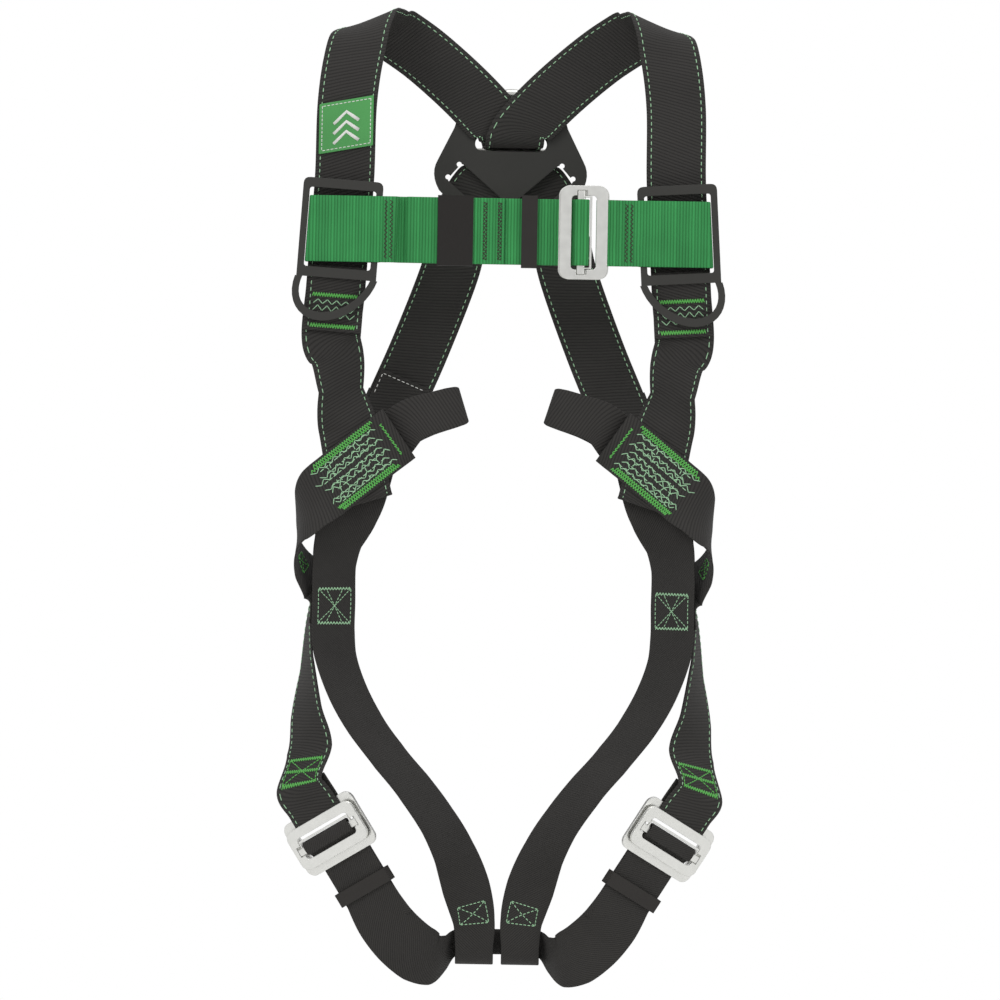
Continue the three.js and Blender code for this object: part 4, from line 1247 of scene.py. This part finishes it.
@dataclass
class ChestStrap:
    """The chest strap's two halves, looped round the shoulder straps and joined at the buckle."""

    buckle_x: float = 56.0
    fold_x: float = -76.0

    def at(self, x: float, y: float) -> Station:
        """A station of the strap, its width upright."""
        return station([x, y, SIZES.chest_height], [0, 0, 1], SIZES.chest_web_width)

    def loop(self, side: Side) -> list[Station]:
        """The loop round a shoulder strap, leaning with the D-frame, from its seam outwards.

        Args:
            side: The side of the shoulder strap.

        Returns:
            The loop's stations.
        """
        z = SIZES
        middle = z.frame_x(z.chest_height)
        outer = middle + z.web_width / 2
        inner = middle - z.frame_window / 2 - z.frame_bar
        over = z.frame_y - z.frame_thick / 2 - z.bearing
        behind = -z.front_depth + z.step
        seam, beside = inner - 5, outer + z.loop_room
        places = [
            (seam, over + z.step),
            (inner - 3, over + z.step),
            (inner - 1.8, z.frame_y + z.frame_thick / 2),
            (inner + 1, behind - 3.5),
            (inner + 7, behind),
            (outer - 3, behind),
            (outer + 0.2, behind - 0.35),
            (beside, behind - 1.8),
            (beside, behind - 6),
            (beside, z.frame_y),
            (beside, over + 2),
            (beside - 0.9, over + 0.4),
            (outer - 4, over),
            (inner + 14, over),
            (inner, over),
            (seam - 6, over),
        ]
        tilt = math.radians(z.frame_tilt)
        lean = [-side.value * math.sin(tilt), 0, math.cos(tilt)]
        height = z.chest_height
        return [station([side.value * x, y, height], lean, z.chest_web_width) for x, y in places]

    def buckle_half(self) -> list[Station]:
        """The half on the wearer's right, which carries the buckle's plate and folds back."""
        z = SIZES
        front = z.receiver_y + z.buckle_thick / 2 + z.bearing
        back, stub = front + z.step, front - z.step
        round_bar = reversed(wrap_round_bar(CHEST_BUCKLE))
        wrap = [(self.buckle_x + u, z.receiver_y - n) for u, n in round_bar]
        places = [
            (-84, back - 1.5),
            (-68, back),
            (0, back),
            *wrap,
            (0, front),
            (self.fold_x + 6, front),
            (self.fold_x, front - 0.3),
            (self.fold_x - 1.7, front - z.step / 2 - 0.5),
            (self.fold_x, stub - 0.9),
            (self.fold_x + 7, stub),
            (-4, stub),
        ]
        return self.loop(Side.RIGHT) + [self.at(x, y) for x, y in places]

    def receiver_half(self) -> list[Station]:
        """The half on the wearer's left, sewn round the buckle's receiving frame."""
        z = SIZES
        over = z.frame_y - z.frame_thick / 2 - z.bearing
        round_frame = reversed(wrap_round_frame(CHEST_BUCKLE))
        wrap = [(self.buckle_x + u, z.receiver_y - n) for u, n in round_frame]
        places = [(self.buckle_x + 34, over + z.step + 0.2), *wrap]
        return [self.at(x, y) for x, y in places] + self.loop(Side.LEFT)[::-1]

    def front_crossing(self, run: Run, x: float) -> float:
        """The distance along at which the run passes x on its foremost layer.

        Args:
            run: One half of the chest strap.
            x: A place across the harness.

        Returns:
            The distance along.
        """
        crossing = np.nonzero(np.diff(np.sign(run.middle[:, 0] - x)))[0]
        foremost = crossing[np.argmin(run.middle[crossing, 1])]
        return float(run.along[foremost])

    def build(self) -> None:
        """Builds both halves, the zigzag seams beside the D-frames and the sewn stop end."""
        right = Run.through(self.buckle_half(), 1.0)
        left = Run.through(self.receiver_half(), 1.0)
        dress("chest_strap_buckle_side", right, Finish.GREEN_WEBBING)
        dress("chest_strap_receiver_side", left, Finish.GREEN_WEBBING)
        for name, run, seams in (("right", right, (-93.0, -89.5)), ("left", left, (89.0, 93.0))):
            sewing = Stitching(run, SIZES.web_thick / 2, 0.34)
            for x in seams:
                s = self.front_crossing(run, x)
                sewing.zigzag(s, -22, s, 22, 2.0, 1.6, (facing_front(run, s),))
            sewing.piece(f"{name}_chest_seam", Finish.DARK_THREAD, "webbing")
        stop = Stitching(right, SIZES.web_thick / 2, 0.34)
        side = facing_front(right, right.length - 8)
        for back in (3.5, 14.5):
            s = right.length - back
            for place in (s - 1.2, s + 1.2):
                stop.line(place, -22, place, 22, (side,), 1.5, 0.7)
            stop.zigzag(s, -22, s, 22, 2.0, 1.6, (side,))
        stop.piece("chest_stop_end_seam", Finish.DARK_THREAD, "webbing")


def wrap_round_bar(buckle: BuckleSizes) -> list[tuple[float, float]]:
    """The path of webbing that runs in behind the receiver, round the bar and out again.

    Args:
        buckle: The buckle's sizes.

    Returns:
        Points (u, forward).
    """
    z = SIZES
    first = -(z.buckle_thick / 2 + z.bearing)
    second = first - z.step
    radius = z.bar_core_thick / 2 + z.bearing
    near = buckle.bar_u - z.bar_core / 2 + z.bar_core_thick / 2
    far = buckle.bar_u + z.bar_core / 2 - z.bar_core_thick / 2 + z.bar_travel
    edge = -(buckle.receiver_u / 2 - buckle.receiver_rim)
    outside = edge - buckle.receiver_rim - 4
    return [
        (outside, first),
        (edge - 1.5, first),
        (edge + 0.8, first + 0.5),
        (edge + 3, 0.6),
        *arc(near, z.plate_forward, radius, 195, 90, 3),
        *arc(far, z.plate_forward, radius, 90, -90, 4),
        (near + 1, z.plate_forward - radius - 1.2),
        (edge + 4.6, second + 1.8),
        (edge + 0.5, second),
        (outside, second),
    ]


def wrap_round_frame(buckle: BuckleSizes) -> list[tuple[float, float]]:
    """The path of webbing sewn round the far bar of a receiving frame.

    Args:
        buckle: The buckle's sizes.

    Returns:
        Points (u, forward).
    """
    z = SIZES
    inner = buckle.receiver_u / 2 - buckle.receiver_rim
    radius = z.buckle_thick / 2 + z.bearing
    return [
        (inner + buckle.receiver_rim + 4, radius),
        (inner + z.buckle_thick / 2 + 2, radius),
        *arc(inner + 0.4, 0, radius, 90, 270, 4),
        (inner + z.buckle_thick / 2 + 2, -radius),
        (inner + buckle.receiver_rim + 4, -radius),
    ]


@dataclass
class HipGroup:
    """Hip strap, ventral loop and thigh strap on one side, which meet at the hip junction."""

    side: Side
    thigh_out: float = 14.5
    loop_depth: float = 13.5
    end_tack: float = 8.0
    thigh_box: tuple[float, float] = (100, 126)

    def hip(self) -> list[Station]:
        """The hip strap, from the ventral loop's root round the outer hip to the thigh strap."""
        z = SIZES
        x, y, up = z.hip_half, z.hip_front_y, z.hip_height
        junction, in_back = [0.61, 0, 0.79], [-0.7, 0.7, 0]
        sewn_x = x + self.thigh_out + 1.1 * z.step
        sewn_y = -z.front_depth + self.thigh_out + 1.1 * z.step
        return [
            station([x - 33, y - 4.5, up + 26], [0.5, 0.1, 0.86]),
            station([x - 25, y - 2, up + 20], junction),
            station([x - 14, y, up + 11.5], junction),
            station([x, y, up], junction),
            station([x + 13, y, up - 10.5], junction),
            station([x + 23, y, up - 19], [0.62, 0.05, 0.75]),
            station([x + 33.5, y + 3, up - 32], [0.5, 0.6, 0.5]),
            station([x + 40.5, y + 10, up - 47], [0.2, 0.95, 0.2]),
            station([x + 42.5, y + 14, up - 61], [-0.05, 1, 0]),
            station([x + 37.5, y + 17.5, up - 76], [-0.4, 0.9, 0]),
            station([x + 26, y + 22, up - 91], in_back),
            station([sewn_x, sewn_y, up - 103], in_back),
            station([sewn_x, sewn_y, up - 119], in_back),
        ]

    def ventral(self) -> list[Station]:
        """The ventral loop, out to its nose and back."""
        z = SIZES
        root = np.array([z.hip_half - 26, z.hip_front_y + 6, z.hip_height + 22])
        places = [
            ((-4, -2, 3), 7),
            ((-16, -7, 14), 2),
            ((-32, -8.5, 20), 0),
            ((-46, -8, 24), 0),
            ((-53, -5, 26), -1.5),
            ((-55, 0, 26.6), -4),
            ((-53, 5, 26), -1.5),
            ((-44, 8, 23.5), 0),
            ((-28, 8, 18), 0),
            ((-14, 7, 12), 2),
            ((-2, 6.5, 3), 5),
        ]
        width = z.loop_web_width
        return [station(list(root + move), [0.3, 0, 0.95], width + more) for move, more in places]

    def thigh(self) -> list[Station]:
        """The thigh strap, from the hip down to the loop that holds the leg strap."""
        z = SIZES
        x, up = z.hip_half, z.hip_height
        y, thigh_x = -z.front_depth + self.thigh_out, z.hip_half + self.thigh_out
        crotch_y, low = -z.front_depth / 2, z.crotch_height
        turned, at_hip = [0.68, -0.72, 0.1], [0.7, -0.7, 0]
        depth, top, loop_x = self.loop_depth, low + 16, z.thigh_loop_half
        end = z.gathered_width + 1
        under = arc(crotch_y, low - 3.2, depth, 180, 360, 6)
        return [
            station([x - 8, y, up + 4], [0.956, 0, -0.29]),
            station([x - 1, y, up - 22], [0.956, 0, -0.29]),
            station([x + 5, y, up - 36], [0.95, -0.1, -0.25]),
            station([x + 12, y, up - 57], [0.78, -0.6, 0]),
            station([thigh_x, y, up - 75], at_hip),
            station([thigh_x, y, up - 103], at_hip),
            station([thigh_x, y, up - 127], at_hip),
            station([x + 12, y + 1, up - 145], turned),
            station([x + 3, y + 2, up - 170], turned),
            station([x - 11, y + 4, up - 195], turned),
            station([x - 29, y + 6, up - 219], turned),
            station([x - 49, y + 9, up - 243], turned),
            station([x - 67, y + 13, up - 268], turned),
            station([x - 80, y + 16, up - 292], [0.7, -0.6, 0.2]),
            station([x - 89.5, crotch_y - depth - 1, low + 42], [0.8, -0.35, 0.2], z.web_width - 5),
            station([loop_x + 0.5, crotch_y - depth, top], [0.97, -0.1, 0.1], end + 3),
            *[station([loop_x, b, c], [1, 0, 0], end) for b, c in under],
            station([loop_x, crotch_y + 0.55 * depth, top], [0.97, -0.1, 0.1], end),
            station([loop_x + 2, crotch_y - depth + z.step + 0.5, top + 10], [0.95, -0.2, 0.1], end),
            station([loop_x + 4, crotch_y - depth + z.step, top + 22], [0.88, -0.28, 0.18], end),
        ]

    def build(self) -> None:
        """Builds the three straps with their seams."""
        word = self.side.word
        face = SIZES.web_thick / 2
        hip = Run.through(on_side(self.side, self.hip()), 1.1)
        ventral = Run.through(on_side(self.side, self.ventral()), 1.0)
        thigh = Run.through(on_side(self.side, self.thigh()), 1.3)
        dress(f"{word}_hip_strap", hip, Finish.BLACK_WEBBING)
        dress(f"{word}_ventral_loop", ventral, Finish.BLACK_WEBBING)
        dress(f"{word}_thigh_strap", thigh, Finish.THIGH_WEBBING)
        self.sew_junction(hip, face, word)
        self.sew_thigh(thigh, face, word)

    def sew_junction(self, hip: Run, face: float, word: str) -> None:
        """Sews the junction: rows along the strap, dense at its two edges, and stray diagonals.

        Args:
            hip: The hip strap's run.
            face: Height of its face above its middle.
            word: The side's name.
        """
        front = facing_front(hip, 30)
        rows = Stitching(hip, face, 0.36)
        for k, a in enumerate(np.linspace(-14, 14, 7)):
            start, end = 13 + 4 * (k % 2), 68 + 3 * ((k + 1) % 3)
            width, pitch = 2.6 + 0.5 * (k % 3), 3.4 + 0.5 * (k % 2)
            rows.zigzag(start, a, end, a + 1.2 * (-1) ** k, width, pitch, (front,))
            rows.line(start + 3, a + 0.6, end - 5, a - 0.8, (front,), 3.4, 1.0)
        for s, reach in ((24, 7), (39, -6), (52, 8), (63, -7)):
            rows.line(s, -16, s + reach, 15, (front,), 3.2, 2.6)
        rows.piece(f"{word}_junction_stitching", Finish.PALE_THREAD, "webbing")
        tacks = Stitching(hip, face, 0.42)
        for a, s0, s1 in ((-19.5, 14, 70), (-17, 17, 73), (17, 15, 70), (19.5, 12, 67)):
            tacks.zigzag(s0, a, s1, a, 2.6, 1.05, (front,))
        near, far = self.end_tack - 0.6, self.end_tack + 0.6
        for a in np.linspace(-13, 13, 9):
            tacks.line(near, a - 0.9, far, a + 0.9, (front,), 1.9, 0.1)
        tacks.zigzag(near, -14, near, 14, 1.4, 1.6, (front,))
        fold = self.height_along(hip, SIZES.hip_height - 66)
        side = facing_front(hip, fold)
        tacks.crossed_box(fold, fold + 13, -8, 6, (side,), 2.0, 0.7)
        tacks.piece(f"{word}_junction_bar_tacks", Finish.GREEN_THREAD, "webbing")

    def sew_thigh(self, thigh: Run, face: float, word: str) -> None:
        """Sews the box under the outer hip and the box above the crotch loop.

        Args:
            thigh: The thigh strap's run.
            face: Height of its face above its middle.
            word: The side's name.
        """
        front = facing_front(thigh, 120)
        boxes = Stitching(thigh, face, 0.36)
        top, bottom = self.thigh_box
        boxes.crossed_box(top, bottom, -17, 17, (front,), 2.2, 0.7)
        for s in (top, bottom):
            boxes.zigzag(s, -17, s, 17, 2.2, 1.5, (front,))
        for a in (-8, 8):
            boxes.line(top + 1, a, bottom - 1, -a, (front,), 2.2, 1.0)
        loop_start = self.height_along(thigh, SIZES.crotch_height + 30)
        front = facing_front(thigh, loop_start)
        boxes.crossed_box(loop_start, loop_start + 15, -11, 11, (front,), 2.2, 0.8)
        boxes.piece(f"{word}_thigh_box_stitching", Finish.PALE_THREAD, "webbing")

    @staticmethod
    def height_along(run: Run, z: float) -> float:
        """The first distance along at which the run falls below a height."""
        return float(run.along[np.argmax(run.middle[:, 2] < z)])


@dataclass
class LegBuckleAxes:
    """The leg buckle's axes on one side: u up the riser, v along the bar, n to the front."""

    side: Side
    half: float = 128.0
    height: float = -563.0
    lean: float = 32.0
    turn: float = 30.0
    depth: float = 86.0

    @property
    def up(self) -> np.ndarray:
        """The direction of u."""
        lean = math.radians(self.lean)
        return np.array([self.side.value * math.sin(lean), 0, math.cos(lean)])

    def spun(self, vector: Sequence[float]) -> np.ndarray:
        """Turns a vector about u: v cos t + (u x v) sin t + u (u . v) (1 - cos t).

        Args:
            vector: The vector v.

        Returns:
            The turned vector.
        """
        angle = self.side.value * math.radians(self.turn)
        v, k = np.asarray(vector, float), self.up
        kept = k * (k @ v) * (1 - math.cos(angle))
        return v * math.cos(angle) + np.cross(k, v) * math.sin(angle) + kept

    @property
    def facing(self) -> np.ndarray:
        """The direction of n."""
        return self.spun([0, -1, 0])

    @property
    def across(self) -> np.ndarray:
        """The webbing's width direction through the buckle."""
        lean = math.radians(self.lean)
        return -self.spun([-self.side.value * math.cos(lean), 0, math.sin(lean)])

    def point(self, u: float, n: float) -> list[float]:
        """A point of the buckle's axes in the harness frame."""
        middle = np.array([self.side.value * self.half, -self.depth, self.height])
        return list(middle + self.up * u + self.facing * n)


@dataclass
class LegGroup:
    """Both risers and the leg strap that runs from buckle to buckle."""

    keeper_reach: float = 48.0
    tack_height: float = -520.0

    def riser(self, side: Side) -> list[Station]:
        """The riser, from the seam behind the hip down to its buckle's receiver.

        Args:
            side: Its side.

        Returns:
            The riser's stations.
        """
        z = SIZES
        axes = LegBuckleAxes(Side.LEFT)
        across = list(axes.across)
        hip = z.hip_height
        layer = 1 - side.layer
        back = z.behind_plate_y(layer) - 10 + z.step
        front = -(z.buckle_thick / 2 + z.bearing)
        down = [-0.92, 0, -0.38]
        route = [
            station([85, back, hip + 53], down),
            station([95, back - 6, hip + 29], down),
            station([110, back - 11, hip + 2], [-0.8, 0.45, -0.4]),
            station([127, back - 16, hip - 32], [-0.4, 0.9, -0.2]),
            station([140, back - 21, hip - 68], [-0.1, 0.99, 0]),
            station([147.5, back - 29, hip - 110], [0.05, 0.99, 0]),
            station([149, back - 42, hip - 150], [0.2, 0.97, 0]),
            station([148.5, back - 56, hip - 187], [0.5, 0.85, 0]),
            station([145, back - 66, hip - 215], [0.75, 0.6, -0.2]),
            station(axes.point(42, 3), across),
            *[station(axes.point(u, n), across) for u, n in wrap_round_frame(LEG_BUCKLE)],
            station(axes.point(LEG_BUCKLE.receiver_u / 2 + 12, front + 0.5), across),
            station(axes.point(LEG_BUCKLE.receiver_u / 2 + 20, front + 1), across),
        ]
        return on_side(side, route)

    def leg(self) -> list[Station]:
        """The leg strap: free end, round one bar, under the thigh loops and the same again."""
        z = SIZES
        axes = LegBuckleAxes(Side.LEFT)
        across = list(axes.across)
        first = -(z.buckle_thick / 2 + z.bearing)
        second = first - z.step
        reach = -self.keeper_reach
        low, crotch_y = z.crotch_height, -z.front_depth / 2
        half = [
            station(axes.point(reach - 34, second - 3), across),
            station(axes.point(reach - 16, second), across),
            station(axes.point(reach + 6, second), across),
            *[station(axes.point(u, n), across) for u, n in reversed(wrap_round_bar(LEG_BUCKLE))],
            station(axes.point(reach + 6, first), across),
            station(axes.point(reach - 8, first), across),
            station([86, -84, low + 17], [0.75, 0.3, -0.62]),
            station([73, -81, low + 2], [0.62, 0.15, -0.78]),
            station([59, -75, low - 9], [0.42, 0.1, -0.9]),
            station([48, -66, low - 13], [0.15, 0.2, -0.97], 41),
            station([40, -56, low - 9], [0.05, 0.45, -0.89], 33),
            station([34, -48.5, low - 2.5], [0, 0.62, -0.78], z.gathered_width),
            station([28, crotch_y, low], [0, 0.7, -0.71], z.gathered_width),
            station([5, crotch_y, low], [0, 0.7, -0.71], z.gathered_width),
        ]
        return half + on_side(Side.RIGHT, half)[::-1]

    def build(self) -> None:
        """Builds the risers with their seams and the leg strap."""
        face = SIZES.web_thick / 2
        for side in Side:
            run = Run.through(self.riser(side), 1.3)
            dress(f"{side.word}_leg_riser", run, Finish.BLACK_WEBBING)
            edges = Stitching(run, face).edges(4, run.length - 30)
            edges.piece(f"{side.word}_riser_edge_stitching", Finish.PALE_THREAD, "webbing")
            end = HipGroup.height_along(run, self.tack_height)
            tacks = Stitching(run, face, 0.42)
            front = facing_front(run, end)
            tacks.crossed_box(end - 15, end + 6, -17, 17, (front,), 2.4, 0.6)
            for s in (end - 15, end - 4.5, end + 6):
                tacks.zigzag(s, -17, s, 17, 2.8, 1.2, (front,))
            tacks.piece(f"{side.word}_riser_bar_tacks", Finish.GREEN_THREAD, "webbing")
        run = Run.through(self.leg(), 1.1)
        dress("leg_strap", run, Finish.THIGH_WEBBING)


# ---- hardware and trim ------------------------------------------------------------------------


@dataclass
class DorsalRing:
    """The dorsal ring: a straight bar and a bow bent from one round wire."""

    def build(self) -> None:
        """Builds bow and bar.

        The bow is a half ellipse on two short legs: x = half * cos t, z = leg top + rise * sin t.
        """
        z = SIZES
        radius = z.ring_wire / 2
        half = z.ring_bar / 2 + radius
        leg_top = z.ring_bar_z + z.ring_eye * 0.25
        t = np.linspace(0, math.pi, 97)
        height = leg_top + (radius - leg_top) * np.sin(t)
        bow = np.stack([half * np.cos(t), np.zeros_like(t), height], axis=1)
        foot = np.array([[half, 0, z.ring_bar_z - radius * 0.4]])
        path = np.concatenate([foot, bow, foot * [-1, 1, 1]]) * MM
        end = half + radius / 2
        bar = np.array([[x, 0, z.ring_bar_z] for x in (-end, 0, end)]) * MM
        ring = Surface.merge([round_tube(path, radius * MM, 24), round_tube(bar, radius * MM, 24)])
        made = ring.piece("dorsal_ring_wire", Finish.RING_STEEL, "dorsal_ring")
        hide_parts("dorsal_d_ring")


@dataclass
class ShoulderPatch:
    """The moulded patch: a slanted plate eased at its front edge, a stitched border and a plain mark."""

    width: float = 41.0
    height: float = 38.0
    thick: float = 1.4
    slope: float = 7.6
    middle_z: float = -26.0
    border_inset: float = 2.2
    border_pitch: float = 3.1
    border_stitch: float = 2.1
    mark_pitch: float = 7.5

    def slanted(self, x: np.ndarray, z: np.ndarray, y: np.ndarray) -> np.ndarray:
        """Places patch coordinates in the harness: z rises by slope over the width.

        Args:
            x: Places across the patch.
            z: Heights on the patch.
            y: Depths from its middle, positive to the back.

        Returns:
            The points in metres.
        """
        front = -SIZES.front_depth - SIZES.bearing - self.thick / 2
        rise = self.slope * x / self.width
        return np.stack([x - SIZES.shoulder_half, y + front, z + rise + self.middle_z], axis=-1) * MM

    def slab(self, half_x: float, half_z: float, y0: float, y1: float, corner: float) -> Surface:
        """A slab whose outline is a rectangle with rounded corners, eased at the front.

        Args:
            half_x: Half its width.
            half_z: Half its height.
            y0: Depth of its back.
            y1: Depth of its front.
            corner: Radius of its corners.

        Returns:
            The closed slab.
        """
        t = np.linspace(0, 2 * math.pi, 64, endpoint=False)
        dx, dz = np.cos(t), np.sin(t)
        x = np.sign(dx) * (half_x - corner) * (np.abs(dx) > 1e-9) + corner * dx
        z = np.sign(dz) * (half_z - corner) * (np.abs(dz) > 1e-9) + corner * dz
        rings = []
        for y, shrink in ((y0, 0.0), (y1 + 0.25, 0.0), (y1 + 0.07, 0.12), (y1, 0.35)):
            eased_x, eased_z = x - np.sign(x) * shrink, z - np.sign(z) * shrink
            rings.append(self.slanted(eased_x, eased_z, np.full_like(x, y)))
        return swept(np.array(rings))

    def strip(self, points: np.ndarray, radius: float) -> Surface:
        """A half-sunk round bead along patch coordinates.

        Args:
            points: Rows (x, z) of its path.
            radius: Its radius.

        Returns:
            The closed bead.
        """
        path = np.asarray(points, float)
        tangent = unit(np.gradient(path, axis=0))
        side = np.stack([-tangent[:, 1], tangent[:, 0]], axis=1)
        angle = np.linspace(0, 2 * math.pi, 8, endpoint=False)
        ring = path[:, None] + radius * np.cos(angle)[None, :, None] * side[:, None]
        depth = -self.thick / 2 - 0.05 - radius * 0.5 * np.sin(angle)
        return swept(self.slanted(ring[..., 0], ring[..., 1], np.broadcast_to(depth, ring.shape[:2])))

    def build(self) -> None:
        """Builds the plate, the border stitches and a mark of three chevrons."""
        hx, hz = self.width / 2, self.height / 2
        base = self.slab(hx, hz, self.thick / 2, -self.thick / 2, 1.0)
        made = base.piece("shoulder_patch_plate", Finish.PATCH_PVC, "webbing", smooth=False)
        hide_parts("shoulder_patch")
        stitches = []
        in_x, in_z = hx - self.border_inset, hz - self.border_inset
        for upright, reach, fixed in ((False, in_x, in_z), (True, in_z, in_x)):
            for sign in (-1, 1):
                for start in np.arange(-reach + 0.6, reach - 1.6, self.border_pitch):
                    ends = np.array([start, start + self.border_stitch])
                    line = np.stack([ends, np.full(2, sign * fixed)], axis=1)
                    stitches.append(self.strip(line[:, ::-1] if upright else line, 0.3))
        Surface.merge(stitches).piece("shoulder_patch_border", Finish.WHITE_THREAD, "webbing")
        marks = []
        arms = np.array([[-9.5, -5.5], [-4.75, -1.5], [0, 2.5], [4.75, -1.5], [9.5, -5.5]])
        for row in (1, 0, -1):
            marks.append(self.strip(arms + [0, row * self.mark_pitch], 1.25))
        Surface.merge(marks).piece("shoulder_patch_mark", Finish.WHITE_THREAD, "webbing")


@dataclass
class LabelPocket:
    """The textile pocket on the strap from the left shoulder, above the right hip."""

    length: float = 34.0
    width: float = 40.0

    def build(self) -> None:
        """Builds the pocket and the white thread that sews two of its edges."""
        z = SIZES
        y = z.behind_plate_y(0) - z.step - 0.6
        middle = np.array([-84, y - 10, z.hip_height + 53])
        along = np.array([-0.38, -0.17, -0.91]) * self.length / 2
        rows = [station(list(middle + along * k), [0.92, 0, -0.38], self.width) for k in (-1, 0, 1)]
        run = Run.through(rows, 1.0)
        dress("label_pocket", run, Finish.BLACK_WEBBING)
        front = facing_front(run, 10)
        sewing = Stitching(run, z.web_thick / 2, 0.34)
        sewing.line(3, -18, 3, 16, (front,), 2.4, 1.1).line(3, -18, 20, -18, (front,), 2.4, 1.1)
        sewing.piece("label_pocket_stitching", Finish.WHITE_THREAD, "webbing")


@dataclass
class Hardware:
    """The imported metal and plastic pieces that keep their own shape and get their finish."""

    finishes: dict[str, Finish] = field(
        default_factory=lambda: {
            "dorsal_plate": Finish.PLATE_PLASTIC,
            "d_frame": Finish.FRAME_PLASTIC,
            "leg_buckle": Finish.BUCKLE_ALLOY,
            "chest_buckle": Finish.BUCKLE_STEEL,
            "chest_elastic": Finish.ELASTIC,
            "keeper": Finish.KEEPER_PLASTIC,
        }
    )

    def build(self) -> None:
        """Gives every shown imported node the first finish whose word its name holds."""
        for name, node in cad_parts.items():
            match = next((finish for word, finish in self.finishes.items() if word in name), None)
            if match is None:
                continue
            node.data.materials.clear()
            node.data.materials.append(match.material)
            LOG.info("%s: dressed as %s", name, match.name.lower())


# ---- studio -------------------------------------------------------------------------------------


@dataclass
class Studio:
    """White room, soft lamps, pale floor and the camera."""

    focal: float = 285.4
    distance: float = 6.0
    target: tuple[float, float, float] = (-0.0037, -0.095, -0.308)
    roll: float = 1.0
    floor_z: float = -0.9
    floor_radius: float = 1.5
    surround: float = 0.6

    def lamp(self, name: str, at: Sequence[float], size: float, watts: float) -> None:
        """Adds a square soft lamp that faces the harness.

        Args:
            name: Its name.
            at: Its place in metres.
            size: Its side in metres.
            watts: Its power.
        """
        data = bpy.data.lights.new(name, "AREA")
        data.energy, data.size = watts, size
        obj = bpy.data.objects.new(name, data)
        obj.location = at
        from_lamp = np.array([0, -0.05, -0.3]) - np.array(at)
        pitch = math.atan2(math.hypot(from_lamp[0], from_lamp[1]), -from_lamp[2])
        obj.rotation_euler = (pitch, 0, math.atan2(-from_lamp[0], from_lamp[1]))
        bpy.context.scene.collection.objects.link(obj)

    def build(self) -> None:
        """Builds the room."""
        scene = bpy.context.scene
        scene.view_settings.view_transform = "Standard"
        world = bpy.data.worlds.new("white_room")
        world.use_nodes = True
        room = world.node_tree.nodes["Background"]
        room.inputs[0].default_value = (1, 1, 1, 1)
        seen = world.node_tree.nodes.new("ShaderNodeLightPath").outputs["Is Camera Ray"]
        brightness = world.node_tree.nodes.new("ShaderNodeMapRange")
        world.node_tree.links.new(seen, brightness.inputs[0])
        brightness.inputs[3].default_value = self.surround
        world.node_tree.links.new(brightness.outputs[0], room.inputs[1])
        scene.world = world
        self.lamp("key_lamp", (-1.6, -2.6, 1.4), 1.2, 22)
        self.lamp("fill_lamp", (2.0, -2.2, 0.4), 1.4, 9)
        self.lamp("top_lamp", (0.2, -0.4, 2.4), 1.2, 12)
        camera = bpy.data.cameras.new("studio_camera")
        camera.lens, camera.sensor_width = self.focal, 36
        obj = bpy.data.objects.new("studio_camera", camera)
        obj.location = (self.target[0], self.target[1] - self.distance, self.target[2])
        obj.rotation_euler = (math.pi / 2, -math.radians(self.roll), 0)
        scene.collection.objects.link(obj)
        scene.camera = obj
        t = np.linspace(0, 2 * math.pi, 64, endpoint=False)
        rim = self.floor_radius * np.stack([np.cos(t), np.sin(t)], axis=1)
        disc = np.column_stack([rim, np.full_like(t, self.floor_z)])
        mesh = swept(np.stack([disc - [0, 0, 0.02], disc])).mesh("studio_floor")
        mesh.materials.append(PaleStudio("studio_floor", "#f4f4f2").build())
        ground = bpy.data.objects.new("studio_floor", mesh)
        scene.collection.objects.link(ground)


def main() -> None:
    """Builds the studio and every sub-assembly in order."""
    logging.basicConfig(level=logging.INFO, format="%(message)s")
    Studio().build()
    Hardware().build()
    DorsalRing().build()
    for side in Side:
        ShoulderStrap(side).build()
        FrameTieLoop(side).build()
        HipGroup(side).build()
    ChestStrap().build()
    LegGroup().build()
    ShoulderPatch().build()
    LabelPocket().build()


if __name__ == "__main__":
    main()
